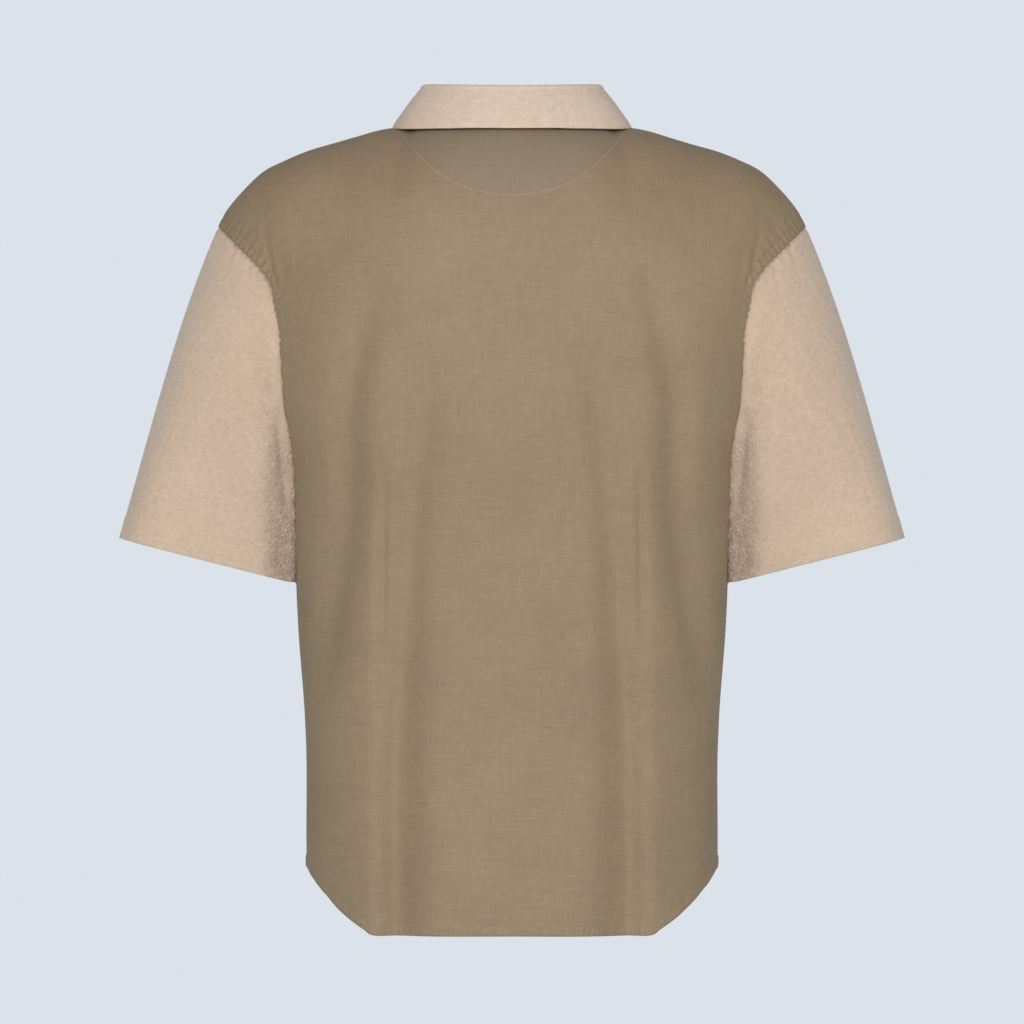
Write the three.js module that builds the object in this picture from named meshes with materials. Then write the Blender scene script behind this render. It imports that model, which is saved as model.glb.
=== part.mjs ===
// A short-sleeved golf shirt, filled out as when worn, with no wearer. Millimetres, +Z up, front to -Y.
// The origin is the middle of the neck opening, level with the top of the shoulder seams.
// Each cut piece is a thin wall about a grid of points, which follows the form of its panel. Where two
// pieces are sewn, their edges meet on the plane that halves the angle between them, a hair apart.
import * as THREE from 'three';

// ---------------------------------------------------------------------------- driving sizes, mm
const CLOTH = 1.5; // wall of body and sleeves
const SEAM = 0.4; // gap between two sewn edges
const CLEAR = 0.6; // gap between two cloths that lie on each other

const HEM_Z = -716; // lowest line of the back
const FRONT_HEM_LIFT = 12; // the front is cut this much shorter
const UNDERARM_Z = -316;
const BLADE_Z = -200; // level of the shoulder blades, where the armhole is deepest
const SQUARENESS = 2.4; // exponent of the torso's rounded section

const ARMHOLE_X = { underarm: 197.6, blade: 204.4 }; // where the armhole seam stands at those levels
const SHOULDER_TIP_X = 264;

// The rings of the neck seam and of the stand's top: reach to the side, back and front, level at the side,
// and drop towards the back and the front.
const NECK = { side: 80, back: 64, front: 80, sideZ: 0.5, backDrop: 3.5, frontDrop: 72 };
const STAND_TOP = { side: 75.5, back: 54, front: 74, sideZ: 32.3, backDrop: 5.2, frontDrop: 78 };
const BACK_DROP_ROUND = 1.5; // how gently those drops begin at the side
const FRONT_DROP_ROUND = 1.4;
const STAND_END = 2; // each end of the stand stops this far from the centre front

const FOLD_RADIUS = 3.3; // roll of the collar leaf over its stand
const FOLD_LIFT = 2.2; // height of that roll's centre over the stand's seam
const LEAF = { side: 107, back: 80, sideZ: 1.2, backDrop: 8, round: 0.6, standOff: 2.9, bulge: 2.2 };
const COLLAR_POINT = { u: 0.25, v: 0.86, ease: 0.85 }; // where the leaf's points lie on the front

const NECK_SHARE = 0.4; // share of a panel's half width that the neck edge takes at the top
const SHOULDER_SPREAD = 0.92; // columns stand a little closer towards the shoulder tip
const FOLD_FADE = 10; // folds die out just before the side edge
const CUFF = { x: 276, y: -33, z: -389, halfWidth: 82, halfDepth: 54, slope: 14.2 };
const CUFF_SQUARE = { outer: 0.04, inner: 0.11 }; // 0 is an ellipse, 1/9 has flat sides

// Depths and gaps that count in rows follow the rows of the panel that the piece lies on.
const FACING = { half: 98, deepRows: 3.9, topGap: 0.15, tip: 0.04, cloth: 1.0, clear: 0.6 };
const PLACKET = { slitHalf: 9, half: 16, slitRows: 7, topGap: 0.3, cloth: 1.2 };
const BUTTON = { radius: 5.6, height: 2.6, rim: 1.2, dish: 0.8, edge: 0.5, shank: 0.1 };
const BUTTON_PLACES = { count: 3, firstDrop: 24, spacing: 35 };

// Half width and depths of the torso at each level. From the underarm up, the half width is that of the
// whole rounded section, of which the armholes cut off the ends. Values run on a smooth curve.
const LEVELS = [
  { z: -716, half: 185, back: 122, front: 123 },
  { z: -640, half: 185.2, back: 118, front: 121 },
  { z: -550, half: 185.6, back: 115, front: 121 },
  { z: -450, half: 192.6, back: 114, front: 123 },
  { z: -364, half: 196, back: 117, front: 127 },
  { z: -316, half: 198.4, back: 121, front: 130 },
  { z: -295, half: 202, back: 122, front: 131 },
  { z: -245, half: 218, back: 124.4, front: 132 },
  { z: -200, half: 227, back: 125, front: 131 },
];

// The shirt tail's lower edge over its lowest line, from the centre (0) to the side seam (1): nearly straight
// at the bottom, with a small step where the narrow curved hem begins.
const HEM_LINE = [
  { u: 0, lift: 0 },
  { u: 0.2, lift: -0.6 },
  { u: 0.39, lift: -1.6 },
  { u: 0.43, lift: -0.4 },
  { u: 0.455, lift: 3.6 },
  { u: 0.52, lift: 11.4 },
  { u: 0.62, lift: 24.5 },
  { u: 0.7, lift: 35 },
  { u: 0.85, lift: 49.5 },
  { u: 1, lift: 57 },
];

// The shoulder line from the neck point to the tip.
const SHOULDER = [
  { x: 80, z: 0.5 },
  { x: 107, z: -0.9 },
  { x: 120, z: -3.2 },
  { x: 140, z: -8.8 },
  { x: 165, z: -15.7 },
  { x: 183, z: -20.8 },
  { x: 205, z: -29.6 },
  { x: 224, z: -39.2 },
  { x: 243, z: -57 },
  { x: 257, z: -74.5 },
  { x: 264, z: -89 },
];

// The crown of a panel, from the centre (0) to the armhole (1): each column leaves the top edge towards the
// point x, out, z and comes upright to the blade level from "rise" above it. "out" is backward on the back
// and forward on the front.
const BACK_CROWN = [
  { u: 0.0, x: 0, out: 106, z: -12, rise: 80 },
  { u: 0.2, x: 59, out: 103, z: -8, rise: 86 },
  { u: 0.4, x: 106, out: 92, z: -5, rise: 94 },
  { u: 0.6, x: 155, out: 76, z: -16, rise: 82 },
  { u: 0.85, x: 214, out: 63, z: -48, rise: 62 },
  { u: 1.0, x: 246, out: 50, z: -106, rise: 54 },
];
const FRONT_CROWN = [
  { u: 0.0, x: 0, out: 96, z: -92, rise: 44 },
  { u: 0.2, x: 60, out: 90, z: -60, rise: 58 },
  { u: 0.4, x: 106, out: 80, z: -30, rise: 72 },
  { u: 0.6, x: 155, out: 70, z: -26, rise: 76 },
  { u: 0.85, x: 214, out: 63, z: -48, rise: 62 },
  { u: 1.0, x: 246, out: 50, z: -106, rise: 54 },
];

// The largest hanging folds. Each runs down through its rows: "x" from the centre line, "deep" inward,
// "wide" to each side. Both halves of a panel have them.
const BACK_FOLDS = [
  [
    { z: -100, x: 140, deep: 0, wide: 22 },
    { z: -160, x: 143, deep: 2, wide: 20 },
    { z: -205, x: 145, deep: 4.5, wide: 17 },
    { z: -250, x: 146, deep: 7, wide: 16 },
    { z: -335, x: 147, deep: 8, wide: 17 },
    { z: -400, x: 156, deep: 8.5, wide: 18 },
    { z: -466, x: 167, deep: 7, wide: 18 },
    { z: -540, x: 178, deep: 0, wide: 18 },
  ],
  [
    { z: -200, x: 73, deep: 0, wide: 16 },
    { z: -250, x: 75, deep: 4, wide: 16 },
    { z: -335, x: 88, deep: 6.5, wide: 16 },
    { z: -422, x: 94, deep: 8, wide: 16 },
    { z: -510, x: 100, deep: 9.5, wide: 15 },
    { z: -600, x: 101, deep: 10, wide: 15 },
    { z: -716, x: 101, deep: 10, wide: 16 },
  ],
];
const FRONT_FOLDS = [
  [
    { z: -170, x: 128, deep: 0, wide: 20 },
    { z: -280, x: 134, deep: 5, wide: 22 },
    { z: -420, x: 148, deep: 6, wide: 22 },
    { z: -560, x: 166, deep: 0, wide: 20 },
  ],
  [
    { z: -300, x: 84, deep: 0, wide: 18 },
    { z: -430, x: 79, deep: 4, wide: 18 },
    { z: -580, x: 72, deep: 6, wide: 19 },
    { z: -716, x: 68, deep: 8, wide: 19 },
  ],
];

// How a sleeve leaves the armhole and reaches the cuff. The turn runs from the tip of the shoulder
// down the front (-1), through the underarm (0), and up the back to the tip again (1).
const SLEEVE_RUN = [
  { turn: -1.0, startX: 0.4, startY: 0.0, endX: 0.28, endY: -0.02 },
  { turn: -0.5, startX: 0.55, startY: -0.05, endX: 0.2, endY: -0.08 },
  { turn: -0.12, startX: -0.02, startY: -0.4, endX: 0.05, endY: -0.2 },
  { turn: 0.0, startX: 0.24, startY: -0.4, endX: 0.05, endY: -0.25 },
  { turn: 0.12, startX: 0.22, startY: -0.1, endX: 0.1, endY: -0.2 },
  { turn: 0.5, startX: 0.55, startY: 0.05, endX: 0.2, endY: -0.08 },
  { turn: 1.0, startX: 0.4, startY: 0.0, endX: 0.28, endY: -0.02 },
];
const SLEEVE_HANDLE = 0.33; // how far each end's direction is held, as a share of the run

// How finely each piece is divided.
const PANEL = { skirtRows: 10, scyeRows: 5, crownRows: 9, neckColumns: 7, shoulderColumns: 11 };
const SLEEVE_ROWS = 10;
const LEAF_FALL_ROWS = 4;
const FOLD_STEPS = 4;
const FACING_GRID = { rows: 4, columns: 16 };
const BUTTON_SIDES = 20;

// ---------------------------------------------------------------------------- small helpers
const point = (x, y, z) => new THREE.Vector3(x, y, z);
const degrees = (angle) => (angle * Math.PI) / 180;
const mix = (a, b, t) => a + (b - a) * t;
const smooth = (t) => t * t * (3 - 2 * t);
const clamp01 = (t) => Math.min(1, Math.max(0, t));

// Reads a column of a table at a value of its key column, on a smooth curve through the rows.
function readTable(rows, key, at, column) {
  const rising = rows[rows.length - 1][key] > rows[0][key] ? 1 : -1;
  let i = 0;
  while (i < rows.length - 2 && (at - rows[i + 1][key]) * rising > 0) i += 1;
  const span = rows[i + 1][key] - rows[i][key];
  const t = clamp01((at - rows[i][key]) / span);
  const slope = (k) => {
    const low = rows[Math.max(0, k - 1)];
    const high = rows[Math.min(rows.length - 1, k + 1)];
    return ((high[column] - low[column]) / (high[key] - low[key])) * span;
  };
  const a = rows[i][column];
  const b = rows[i + 1][column];
  const ta = slope(i);
  const tb = slope(i + 1);
  const t2 = t * t;
  const t3 = t2 * t;
  return a * (2 * t3 - 3 * t2 + 1) + ta * (t3 - 2 * t2 + t) + b * (3 * t2 - 2 * t3) + tb * (t3 - t2);
}

function bezier(a, b, c, d, t) {
  const s = 1 - t;
  return a.clone().multiplyScalar(s * s * s)
    .addScaledVector(b, 3 * s * s * t)
    .addScaledVector(c, 3 * s * t * t)
    .addScaledVector(d, t * t * t);
}

// ---------------------------------------------------------------------------- form of the torso
// A point of the torso at a level: u runs from the centre (0) to the side edge (1), either way. The side
// edge is the side seam up to the underarm and the armhole over it.
function torsoPoint(face, u, z) {
  const depth = readTable(LEVELS, 'z', z, face > 0 ? 'back' : 'front');
  const half = readTable(LEVELS, 'z', z, 'half') - CLOTH / 2;
  const height = (z - UNDERARM_Z) / (BLADE_Z - UNDERARM_Z);
  const edge = Math.min(half, mix(ARMHOLE_X.underarm, ARMHOLE_X.blade, height));
  const reach = height > 0 ? Math.asin((edge / half) ** (SQUARENESS / 2)) : Math.PI / 2;
  const angle = Math.min(1, Math.abs(u)) * reach;
  const x = half * Math.sin(angle) ** (2 / SQUARENESS);
  const y = depth * Math.max(0, Math.cos(angle)) ** (2 / SQUARENESS);
  return point(Math.sign(u) * x, face * y, z);
}

function hemLevel(face, u) {
  const share = Math.abs(u);
  const shorter = face > 0 ? 0 : FRONT_HEM_LIFT * (1 - smooth(share));
  return HEM_Z + shorter + readTable(HEM_LINE, 'u', share, 'lift');
}

// The neck edge of a panel: turn runs from the centre (0) to the neck point (1).
function neckPoint(face, turn) {
  const angle = (turn * Math.PI) / 2;
  const cosine = Math.cos(angle);
  const backDrop = NECK.backDrop * cosine ** BACK_DROP_ROUND;
  const frontDrop = NECK.frontDrop * cosine ** FRONT_DROP_ROUND;
  const reach = face > 0 ? NECK.back : -NECK.front;
  return point(NECK.side * Math.sin(angle), reach * cosine, NECK.sideZ - (face > 0 ? backDrop : frontDrop));
}

function topEdge(face, u) {
  const side = Math.sign(u) || 1;
  const along = Math.abs(u);
  let at;
  if (along <= NECK_SHARE) {
    at = neckPoint(face, along / NECK_SHARE);
  } else {
    const share = ((along - NECK_SHARE) / (1 - NECK_SHARE)) ** SHOULDER_SPREAD;
    const x = mix(NECK.side, SHOULDER_TIP_X, share);
    at = point(x, 0, readTable(SHOULDER, 'x', x, 'z'));
  }
  at.x *= side;
  return at;
}

// A point of a panel: v runs from the hem (0) through the underarm and the blades to the top edge (1).
const UNDERARM_V = 0.5;
const BLADE_V = 0.68;
function panelPoint(face, u, v) {
  if (v <= UNDERARM_V) {
    const low = hemLevel(face, u);
    return torsoPoint(face, u, mix(low, UNDERARM_Z, v / UNDERARM_V));
  }
  if (v <= BLADE_V) {
    const turn = (((v - UNDERARM_V) / (BLADE_V - UNDERARM_V)) * Math.PI) / 2;
    return torsoPoint(face, u, mix(BLADE_Z, UNDERARM_Z, Math.cos(turn)));
  }
  const crown = face > 0 ? BACK_CROWN : FRONT_CROWN;
  const side = Math.sign(u) || 1;
  const read = (column) => readTable(crown, 'u', Math.abs(u), column);
  const low = torsoPoint(face, u, BLADE_Z);
  const high = topEdge(face, u);
  const lowHandle = low.clone().add(point(0, 0, read('rise')));
  const highHandle = point(side * read('x'), face * read('out'), read('z'));
  return bezier(low, lowHandle, highHandle, high, (v - BLADE_V) / (1 - BLADE_V));
}

// How far a point of a panel is drawn in by the folds.
function foldDepth(folds, at, u) {
  const fade = 1 - Math.abs(u) ** FOLD_FADE;
  let deep = 0;
  for (const fold of folds) {
    const top = fold[0].z;
    const bottom = fold[fold.length - 1].z;
    if (at.z > top || at.z < bottom - 1) continue;
    const x = readTable(fold, 'z', at.z, 'x');
    const wide = readTable(fold, 'z', at.z, 'wide');
    const off = (Math.abs(at.x) - x) / wide;
    deep += readTable(fold, 'z', at.z, 'deep') * Math.exp(-off * off);
  }
  return deep * fade;
}

// ---------------------------------------------------------------------------- sheets and walls
// A grid of points on the middle of a cloth. inward flips the side that counts as its outside.
class Sheet {
  constructor(rows, columns, pointAt, { closed = false, inward = false } = {}) {
    Object.assign(this, { rows, columns, closed, inward });
    this.points = [];
    for (let r = 0; r <= rows; r += 1) {
      this.points.push([]);
      for (let c = 0; c <= columns - (closed ? 1 : 0); c += 1) this.points[r].push(pointAt(r, c));
    }
    this.findNormals();
    this.raw = this.points.map((row) => row.map((p) => p.clone()));
    this.rawNormals = this.normals.map((row) => row.map((n) => n.clone()));
  }

  column(c) {
    return this.closed ? (c + this.columns) % this.columns : Math.min(this.columns, Math.max(0, c));
  }

  findNormals() {
    const { rows, points, inward } = this;
    this.normals = points.map((row, r) => row.map((_, c) => {
      const across = points[r][this.column(c + 1)].clone().sub(points[r][this.column(c - 1)]);
      const along = points[Math.min(rows, r + 1)][c].clone().sub(points[Math.max(0, r - 1)][c]);
      const normal = across.cross(along).normalize();
      return inward ? normal.negate() : normal;
    }));
  }

  // Moves each point along its normal by what the function gives.
  displace(amount) {
    this.points.forEach((row, r) => row.forEach((p, c) => {
      p.addScaledVector(this.normals[r][c], amount(r, c, p));
    }));
    this.findNormals();
    this.raw = this.points.map((row) => row.map((p) => p.clone()));
    this.rawNormals = this.normals.map((row) => row.map((n) => n.clone()));
  }

  mirrored() {
    const copy = Object.create(Sheet.prototype);
    const { rows, columns, closed, inward } = this;
    Object.assign(copy, { rows, columns, closed, inward: !inward });
    const flip = (grid) => grid.map((row) => row.map((p) => point(-p.x, p.y, p.z)));
    copy.points = flip(this.points);
    copy.normals = flip(this.normals);
    copy.raw = flip(this.raw);
    copy.rawNormals = flip(this.rawNormals);
    return copy;
  }

  // A grid that lies on this sheet's own faces: place gives a row and a column here, with fractions.
  patch(rows, columns, place) {
    const copy = Object.create(Sheet.prototype);
    Object.assign(copy, { rows, columns, closed: false, inward: this.inward });
    const read = (grid, r, c) => {
      const r0 = Math.min(this.rows - 1, Math.floor(r));
      const c0 = Math.min(this.columns - 1, Math.floor(c));
      const low = grid[r0][c0].clone().lerp(grid[r0][c0 + 1], c - c0);
      const high = grid[r0 + 1][c0].clone().lerp(grid[r0 + 1][c0 + 1], c - c0);
      return low.lerp(high, r - r0);
    };
    const count = (n) => Array.from({ length: n + 1 }, (_, i) => i);
    copy.points = count(rows).map((r) => count(columns).map((c) => read(this.points, ...place(r, c))));
    copy.normals = count(rows).map((r) => (
      count(columns).map((c) => read(this.normals, ...place(r, c)).normalize())
    ));
    return copy;
  }

  // One step of an edge that is sewn: the point, and its neighbour inside the sheet.
  step(r, c, insideR, insideC) {
    return { sheet: this, r, c, inside: this.raw[insideR][insideC] };
  }
}

// Sews two edges of equal length: they meet on the plane that halves their angle.
function sew(edgeA, edgeB) {
  const line = edgeA.map(({ sheet, r, c }) => sheet.raw[r][c]);
  edgeA.forEach((a, i) => {
    const b = edgeB[i];
    const along = line[Math.min(line.length - 1, i + 1)].clone().sub(line[Math.max(0, i - 1)]).normalize();
    const out = a.sheet.rawNormals[a.r][a.c].clone().add(b.sheet.rawNormals[b.r][b.c]);
    out.addScaledVector(along, -out.dot(along)).normalize();
    const across = along.cross(out);
    if (across.dot(line[i].clone().sub(a.inside)) < 0) across.negate();
    a.sheet.points[a.r][a.c].addScaledVector(across, -SEAM / 2);
    b.sheet.points[b.r][b.c].addScaledVector(across, SEAM / 2);
    a.sheet.normals[a.r][a.c].copy(out);
    b.sheet.normals[b.r][b.c].copy(out);
  });
}

// Where more than two pieces meet, all of them stand in one plane across the seam.
function squareUp(...steps) {
  for (const { sheet, r, c } of steps) {
    const normal = sheet.normals[r][c];
    normal.y = 0;
    normal.normalize();
  }
}

// The closed wall about a sheet. It can leave cells out, and lie off the sheet to one side.
function wallGeometry(sheet, thickness, { lift = 0, keep = () => true } = {}) {
  const { rows, columns, closed, inward } = sheet;
  const width = sheet.points[0].length;
  const skin = (rows + 1) * width;
  const position = [];
  for (const level of [lift + thickness / 2, lift - thickness / 2]) {
    for (let r = 0; r <= rows; r += 1) {
      for (let c = 0; c < width; c += 1) {
        const p = sheet.points[r][c].clone().addScaledVector(sheet.normals[r][c], level);
        position.push(p.x, p.y, p.z);
      }
    }
  }
  const index = [];
  const edges = new Map();
  for (let r = 0; r < rows; r += 1) {
    for (let c = 0; c < columns; c += 1) {
      if (!keep(r, c)) continue;
      const next = closed ? (c + 1) % columns : c + 1;
      const corners = [r * width + c, r * width + next, (r + 1) * width + next, (r + 1) * width + c];
      if (inward) corners.reverse();
      const [a, b, d, e] = corners;
      index.push(a, b, d, a, d, e);
      index.push(skin + a, skin + d, skin + b, skin + a, skin + e, skin + d);
      corners.forEach((from, k) => {
        const to = corners[(k + 1) % 4];
        edges.set(`${from} ${to}`, [from, to]);
      });
    }
  }
  for (const [from, to] of edges.values()) {
    if (edges.has(`${to} ${from}`)) continue;
    index.push(to, from, skin + from, to, skin + from, skin + to);
  }
  const geometry = new THREE.BufferGeometry();
  geometry.setAttribute('position', new THREE.Float32BufferAttribute(position, 3));
  geometry.setIndex(index);
  geometry.computeVertexNormals();
  return geometry;
}

// ---------------------------------------------------------------------------- the cut pieces
const BODY_CLOTH = { color: 0x9a886f, roughness: 0.62, metalness: 0 };
const TRIM_CLOTH = { color: 0xcdb9a4, roughness: 0.85, metalness: 0 };
const FACING_CLOTH = { color: 0x8e7f6f, roughness: 0.7, metalness: 0 };
const BUTTON_PLASTIC = { color: 0xc9b79f, roughness: 0.35, metalness: 0 };

const shirt = new THREE.Group();
shirt.name = 'golf_shirt';

function addPiece(name, geometry, finish) {
  const mesh = new THREE.Mesh(geometry, new THREE.MeshStandardMaterial(finish));
  mesh.name = name;
  shirt.add(mesh);
  return mesh;
}

// Rows of a panel, evenly spread within the skirt, the armhole's lower curve and the crown.
const panelRows = [];
for (let i = 0; i <= PANEL.skirtRows; i += 1) panelRows.push((UNDERARM_V * i) / PANEL.skirtRows);
for (let i = 1; i <= PANEL.scyeRows; i += 1) {
  panelRows.push(mix(UNDERARM_V, BLADE_V, i / PANEL.scyeRows));
}
for (let i = 1; i <= PANEL.crownRows; i += 1) panelRows.push(mix(BLADE_V, 1, i / PANEL.crownRows));

// Columns of half a panel: the slit's edge, then the neck's columns, then the shoulder's.
const halfColumns = [0];
for (let i = 1; i <= PANEL.neckColumns; i += 1) halfColumns.push((NECK_SHARE * i) / PANEL.neckColumns);
for (let i = 1; i <= PANEL.shoulderColumns; i += 1) {
  halfColumns.push(mix(NECK_SHARE, 1, i / PANEL.shoulderColumns));
}
const halfCount = halfColumns.length - 1;
const columnU = (c) => Math.sign(c - halfCount) * halfColumns[Math.abs(c - halfCount)];

// The share of a panel's half width at which it stands a given distance from the centre line.
function shareAtX(face, x, v) {
  let low = 0;
  let high = 1;
  for (let i = 0; i < 40; i += 1) {
    const middle = (low + high) / 2;
    if (panelPoint(face, middle, v).x < Math.abs(x)) low = middle;
    else high = middle;
  }
  return Math.sign(x) * low;
}

function makePanel(face, folds, columnShare) {
  const rowShares = (v) => Array.from({ length: 2 * halfCount + 1 }, (_, c) => columnShare(c, v));
  const shares = panelRows.map(rowShares);
  const sheet = new Sheet(
    panelRows.length - 1,
    2 * halfCount,
    (r, c) => panelPoint(face, shares[r][c], panelRows[r]),
    { inward: face > 0 },
  );
  sheet.displace((r, c, at) => -foldDepth(folds, at, shares[r][c]));
  return sheet;
}

const backSheet = makePanel(1, BACK_FOLDS, (c) => columnU(c));
const frontSheet = makePanel(-1, FRONT_FOLDS, (c, v) => {
  const beside = c - halfCount;
  return Math.abs(beside) === 1 ? shareAtX(-1, beside * PLACKET.slitHalf, v) : columnU(c);
});

const topRow = panelRows.length - 1;
const underarmRow = PANEL.skirtRows;
const lastColumn = 2 * halfCount;

// The sleeve starts on the armhole, from the underarm up the back to the tip and down the front.
const scye = [];
for (let r = underarmRow; r <= topRow; r += 1) scye.push({ panel: backSheet, r });
for (let r = topRow - 1; r > underarmRow; r -= 1) scye.push({ panel: frontSheet, r });
const scyePoint = ({ panel, r }) => panel.raw[r][lastColumn];
const scyeLengths = scye.map((_, i) => (i ? scyePoint(scye[i]).distanceTo(scyePoint(scye[i - 1])) : 0));
const tipIndex = topRow - underarmRow;

function scyeShare(i) {
  const sum = (from, to) => scyeLengths.slice(from, to + 1).reduce((total, l) => total + l, 0);
  const backLength = sum(1, tipIndex);
  if (i <= tipIndex) return sum(1, i) / backLength;
  return 1 - sum(tipIndex + 1, i) / backLength;
}

function cuffPoint(turn) {
  const slope = degrees(CUFF.slope);
  const square = mix(CUFF_SQUARE.outer, CUFF_SQUARE.inner, (1 - Math.cos(turn)) / 2);
  const across = (CUFF.halfWidth * (Math.cos(turn) - square * Math.cos(3 * turn))) / (1 - square);
  const back = (CUFF.halfDepth * (Math.sin(turn) + square * Math.sin(3 * turn))) / (1 - square);
  return point(
    CUFF.x + across * Math.cos(slope),
    CUFF.y + back,
    CUFF.z + across * Math.sin(slope),
  );
}

function sleevePoint(i, t) {
  const start = scyePoint(scye[i]);
  const share = clamp01(scyeShare(i));
  const side = i <= tipIndex ? 1 : -1;
  const end = cuffPoint(side * Math.PI * (1 - share));
  const read = (column) => readTable(SLEEVE_RUN, 'turn', side * share, column);
  const down = (x, y) => point(x, y, -Math.sqrt(1 - x * x - y * y));
  const reach = SLEEVE_HANDLE * start.distanceTo(end);
  const leave = down(read('startX'), read('startY'));
  const arrive = down(read('endX'), read('endY'));
  const startHandle = start.clone().addScaledVector(leave, reach);
  const endHandle = end.clone().addScaledVector(arrive, -reach);
  return bezier(start, startHandle, endHandle, end, t);
}

const sleeveLeft = new Sheet(SLEEVE_ROWS, scye.length, (r, c) => sleevePoint(c, r / SLEEVE_ROWS), {
  closed: true,
});
const sleeveRight = sleeveLeft.mirrored();

// ---------------------------------------------------------------------------- the collar
// Columns of the collar match the neck columns of both panels: from the centre front round the back.
const quarter = PANEL.neckColumns;
const collarColumns = 4 * quarter;
const slitTurn = 180 - (90 * shareAtX(-1, PLACKET.slitHalf, 1)) / NECK_SHARE;
function collarTurn(c) {
  const besideSlit = Math.min(c, collarColumns - c) === 1;
  return besideSlit ? Math.sign(c - 2 * quarter) * slitTurn : ((c - 2 * quarter) / quarter) * 90;
}

function standEdge(sizes, turnDegrees) {
  const turn = degrees(turnDegrees);
  const cosine = Math.cos(turn);
  const atBack = cosine > 0;
  const round = Math.abs(cosine) ** (atBack ? BACK_DROP_ROUND : FRONT_DROP_ROUND);
  const drop = (atBack ? sizes.backDrop : sizes.frontDrop) * round;
  const reach = atBack ? sizes.back : sizes.front;
  return point(sizes.side * Math.sin(turn), reach * cosine, sizes.sideZ - drop);
}

function standPoint(c, t) {
  const end = c === 0 || c === collarColumns;
  const turn = collarTurn(c);
  const at = standEdge(NECK, turn).lerp(standEdge(STAND_TOP, turn), t);
  if (end) at.x = Math.sign(turn) * STAND_END;
  return at;
}

const standSheet = new Sheet(2, collarColumns, (r, c) => standPoint(c, r / 2), { inward: true });

// The line on the shirt that the leaf's lower edge follows.
function leafEdge(turnDegrees) {
  const turn = degrees(turnDegrees);
  const cosine = Math.cos(turn);
  if (cosine >= 0) {
    const drop = LEAF.backDrop * cosine ** LEAF.round;
    return point(LEAF.side * Math.sin(turn), LEAF.back * cosine, LEAF.sideZ - drop);
  }
  const share = Math.abs(turnDegrees) / 90 - 1;
  const u = Math.sign(turn) * mix(shareAtX(-1, LEAF.side, 1), COLLAR_POINT.u, share);
  const v = mix(1, COLLAR_POINT.v, share ** COLLAR_POINT.ease);
  const at = panelPoint(-1, u, v);
  const near = 1e-3;
  const across = panelPoint(-1, u + near, v).sub(panelPoint(-1, u - near, v));
  const along = panelPoint(-1, u, v).sub(panelPoint(-1, u, v - near));
  return at.addScaledVector(across.cross(along).normalize(), LEAF.standOff);
}

const leafRows = 1 + FOLD_STEPS + LEAF_FALL_ROWS;
function leafPoint(c, r) {
  const turn = collarTurn(c);
  const radians = degrees(turn);
  const seam = standPoint(c, 1);
  const outward = point(Math.sin(radians) / STAND_TOP.side, Math.cos(radians) / STAND_TOP.back, 0);
  outward.normalize();
  if (r === 0) return seam;
  const foldTurn = Math.PI * (1 - Math.min(r - 1, FOLD_STEPS) / FOLD_STEPS);
  const fold = seam.clone()
    .addScaledVector(outward, FOLD_RADIUS * (1 + Math.cos(foldTurn)))
    .add(point(0, 0, FOLD_LIFT + FOLD_RADIUS * Math.sin(foldTurn)));
  if (r <= 1 + FOLD_STEPS) return fold;
  const t = (r - 1 - FOLD_STEPS) / LEAF_FALL_ROWS;
  const bulge = LEAF.bulge * 4 * t * (1 - t);
  return fold.lerp(leafEdge(turn), t).addScaledVector(outward, bulge);
}

const leafSheet = new Sheet(leafRows, collarColumns, (r, c) => leafPoint(c, r), { inward: true });

// ---------------------------------------------------------------------------- sewing the edges
// Side seams and shoulder seams join the two panels.
for (const [edge, inside] of [[0, 1], [lastColumn, lastColumn - 1]]) {
  const rows = Array.from({ length: underarmRow + 1 }, (_, r) => r);
  const edgeOf = (sheet) => rows.map((r) => sheet.step(r, edge, r, inside));
  sew(edgeOf(backSheet), edgeOf(frontSheet));
}
const neckPointColumns = [halfCount - quarter, halfCount + quarter];
for (const [from, to] of [[0, neckPointColumns[0]], [neckPointColumns[1], lastColumn]]) {
  const columns = Array.from({ length: to - from + 1 }, (_, i) => from + i);
  const edgeOf = (sheet) => columns.map((c) => sheet.step(topRow, c, topRow - 1, c));
  sew(edgeOf(backSheet), edgeOf(frontSheet));
}

// The armholes join each sleeve to both panels.
for (const [sleeve, edge, inside] of [[sleeveRight, 0, 1], [sleeveLeft, lastColumn, lastColumn - 1]]) {
  const onPanel = (panel, r) => panel.step(r, edge, r, inside);
  const onSleeve = (i) => sleeve.step(0, i % scye.length, 1, i % scye.length);
  const steps = Array.from({ length: tipIndex + 1 }, (_, i) => i);
  sew(steps.map((i) => onPanel(backSheet, underarmRow + i)), steps.map(onSleeve));
  sew(steps.map((i) => onPanel(frontSheet, topRow - i)), steps.map((i) => onSleeve(tipIndex + i)));
  squareUp(onPanel(backSheet, underarmRow), onPanel(frontSheet, underarmRow), onSleeve(0));
  squareUp(onPanel(backSheet, topRow), onPanel(frontSheet, topRow), onSleeve(tipIndex));
}

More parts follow.
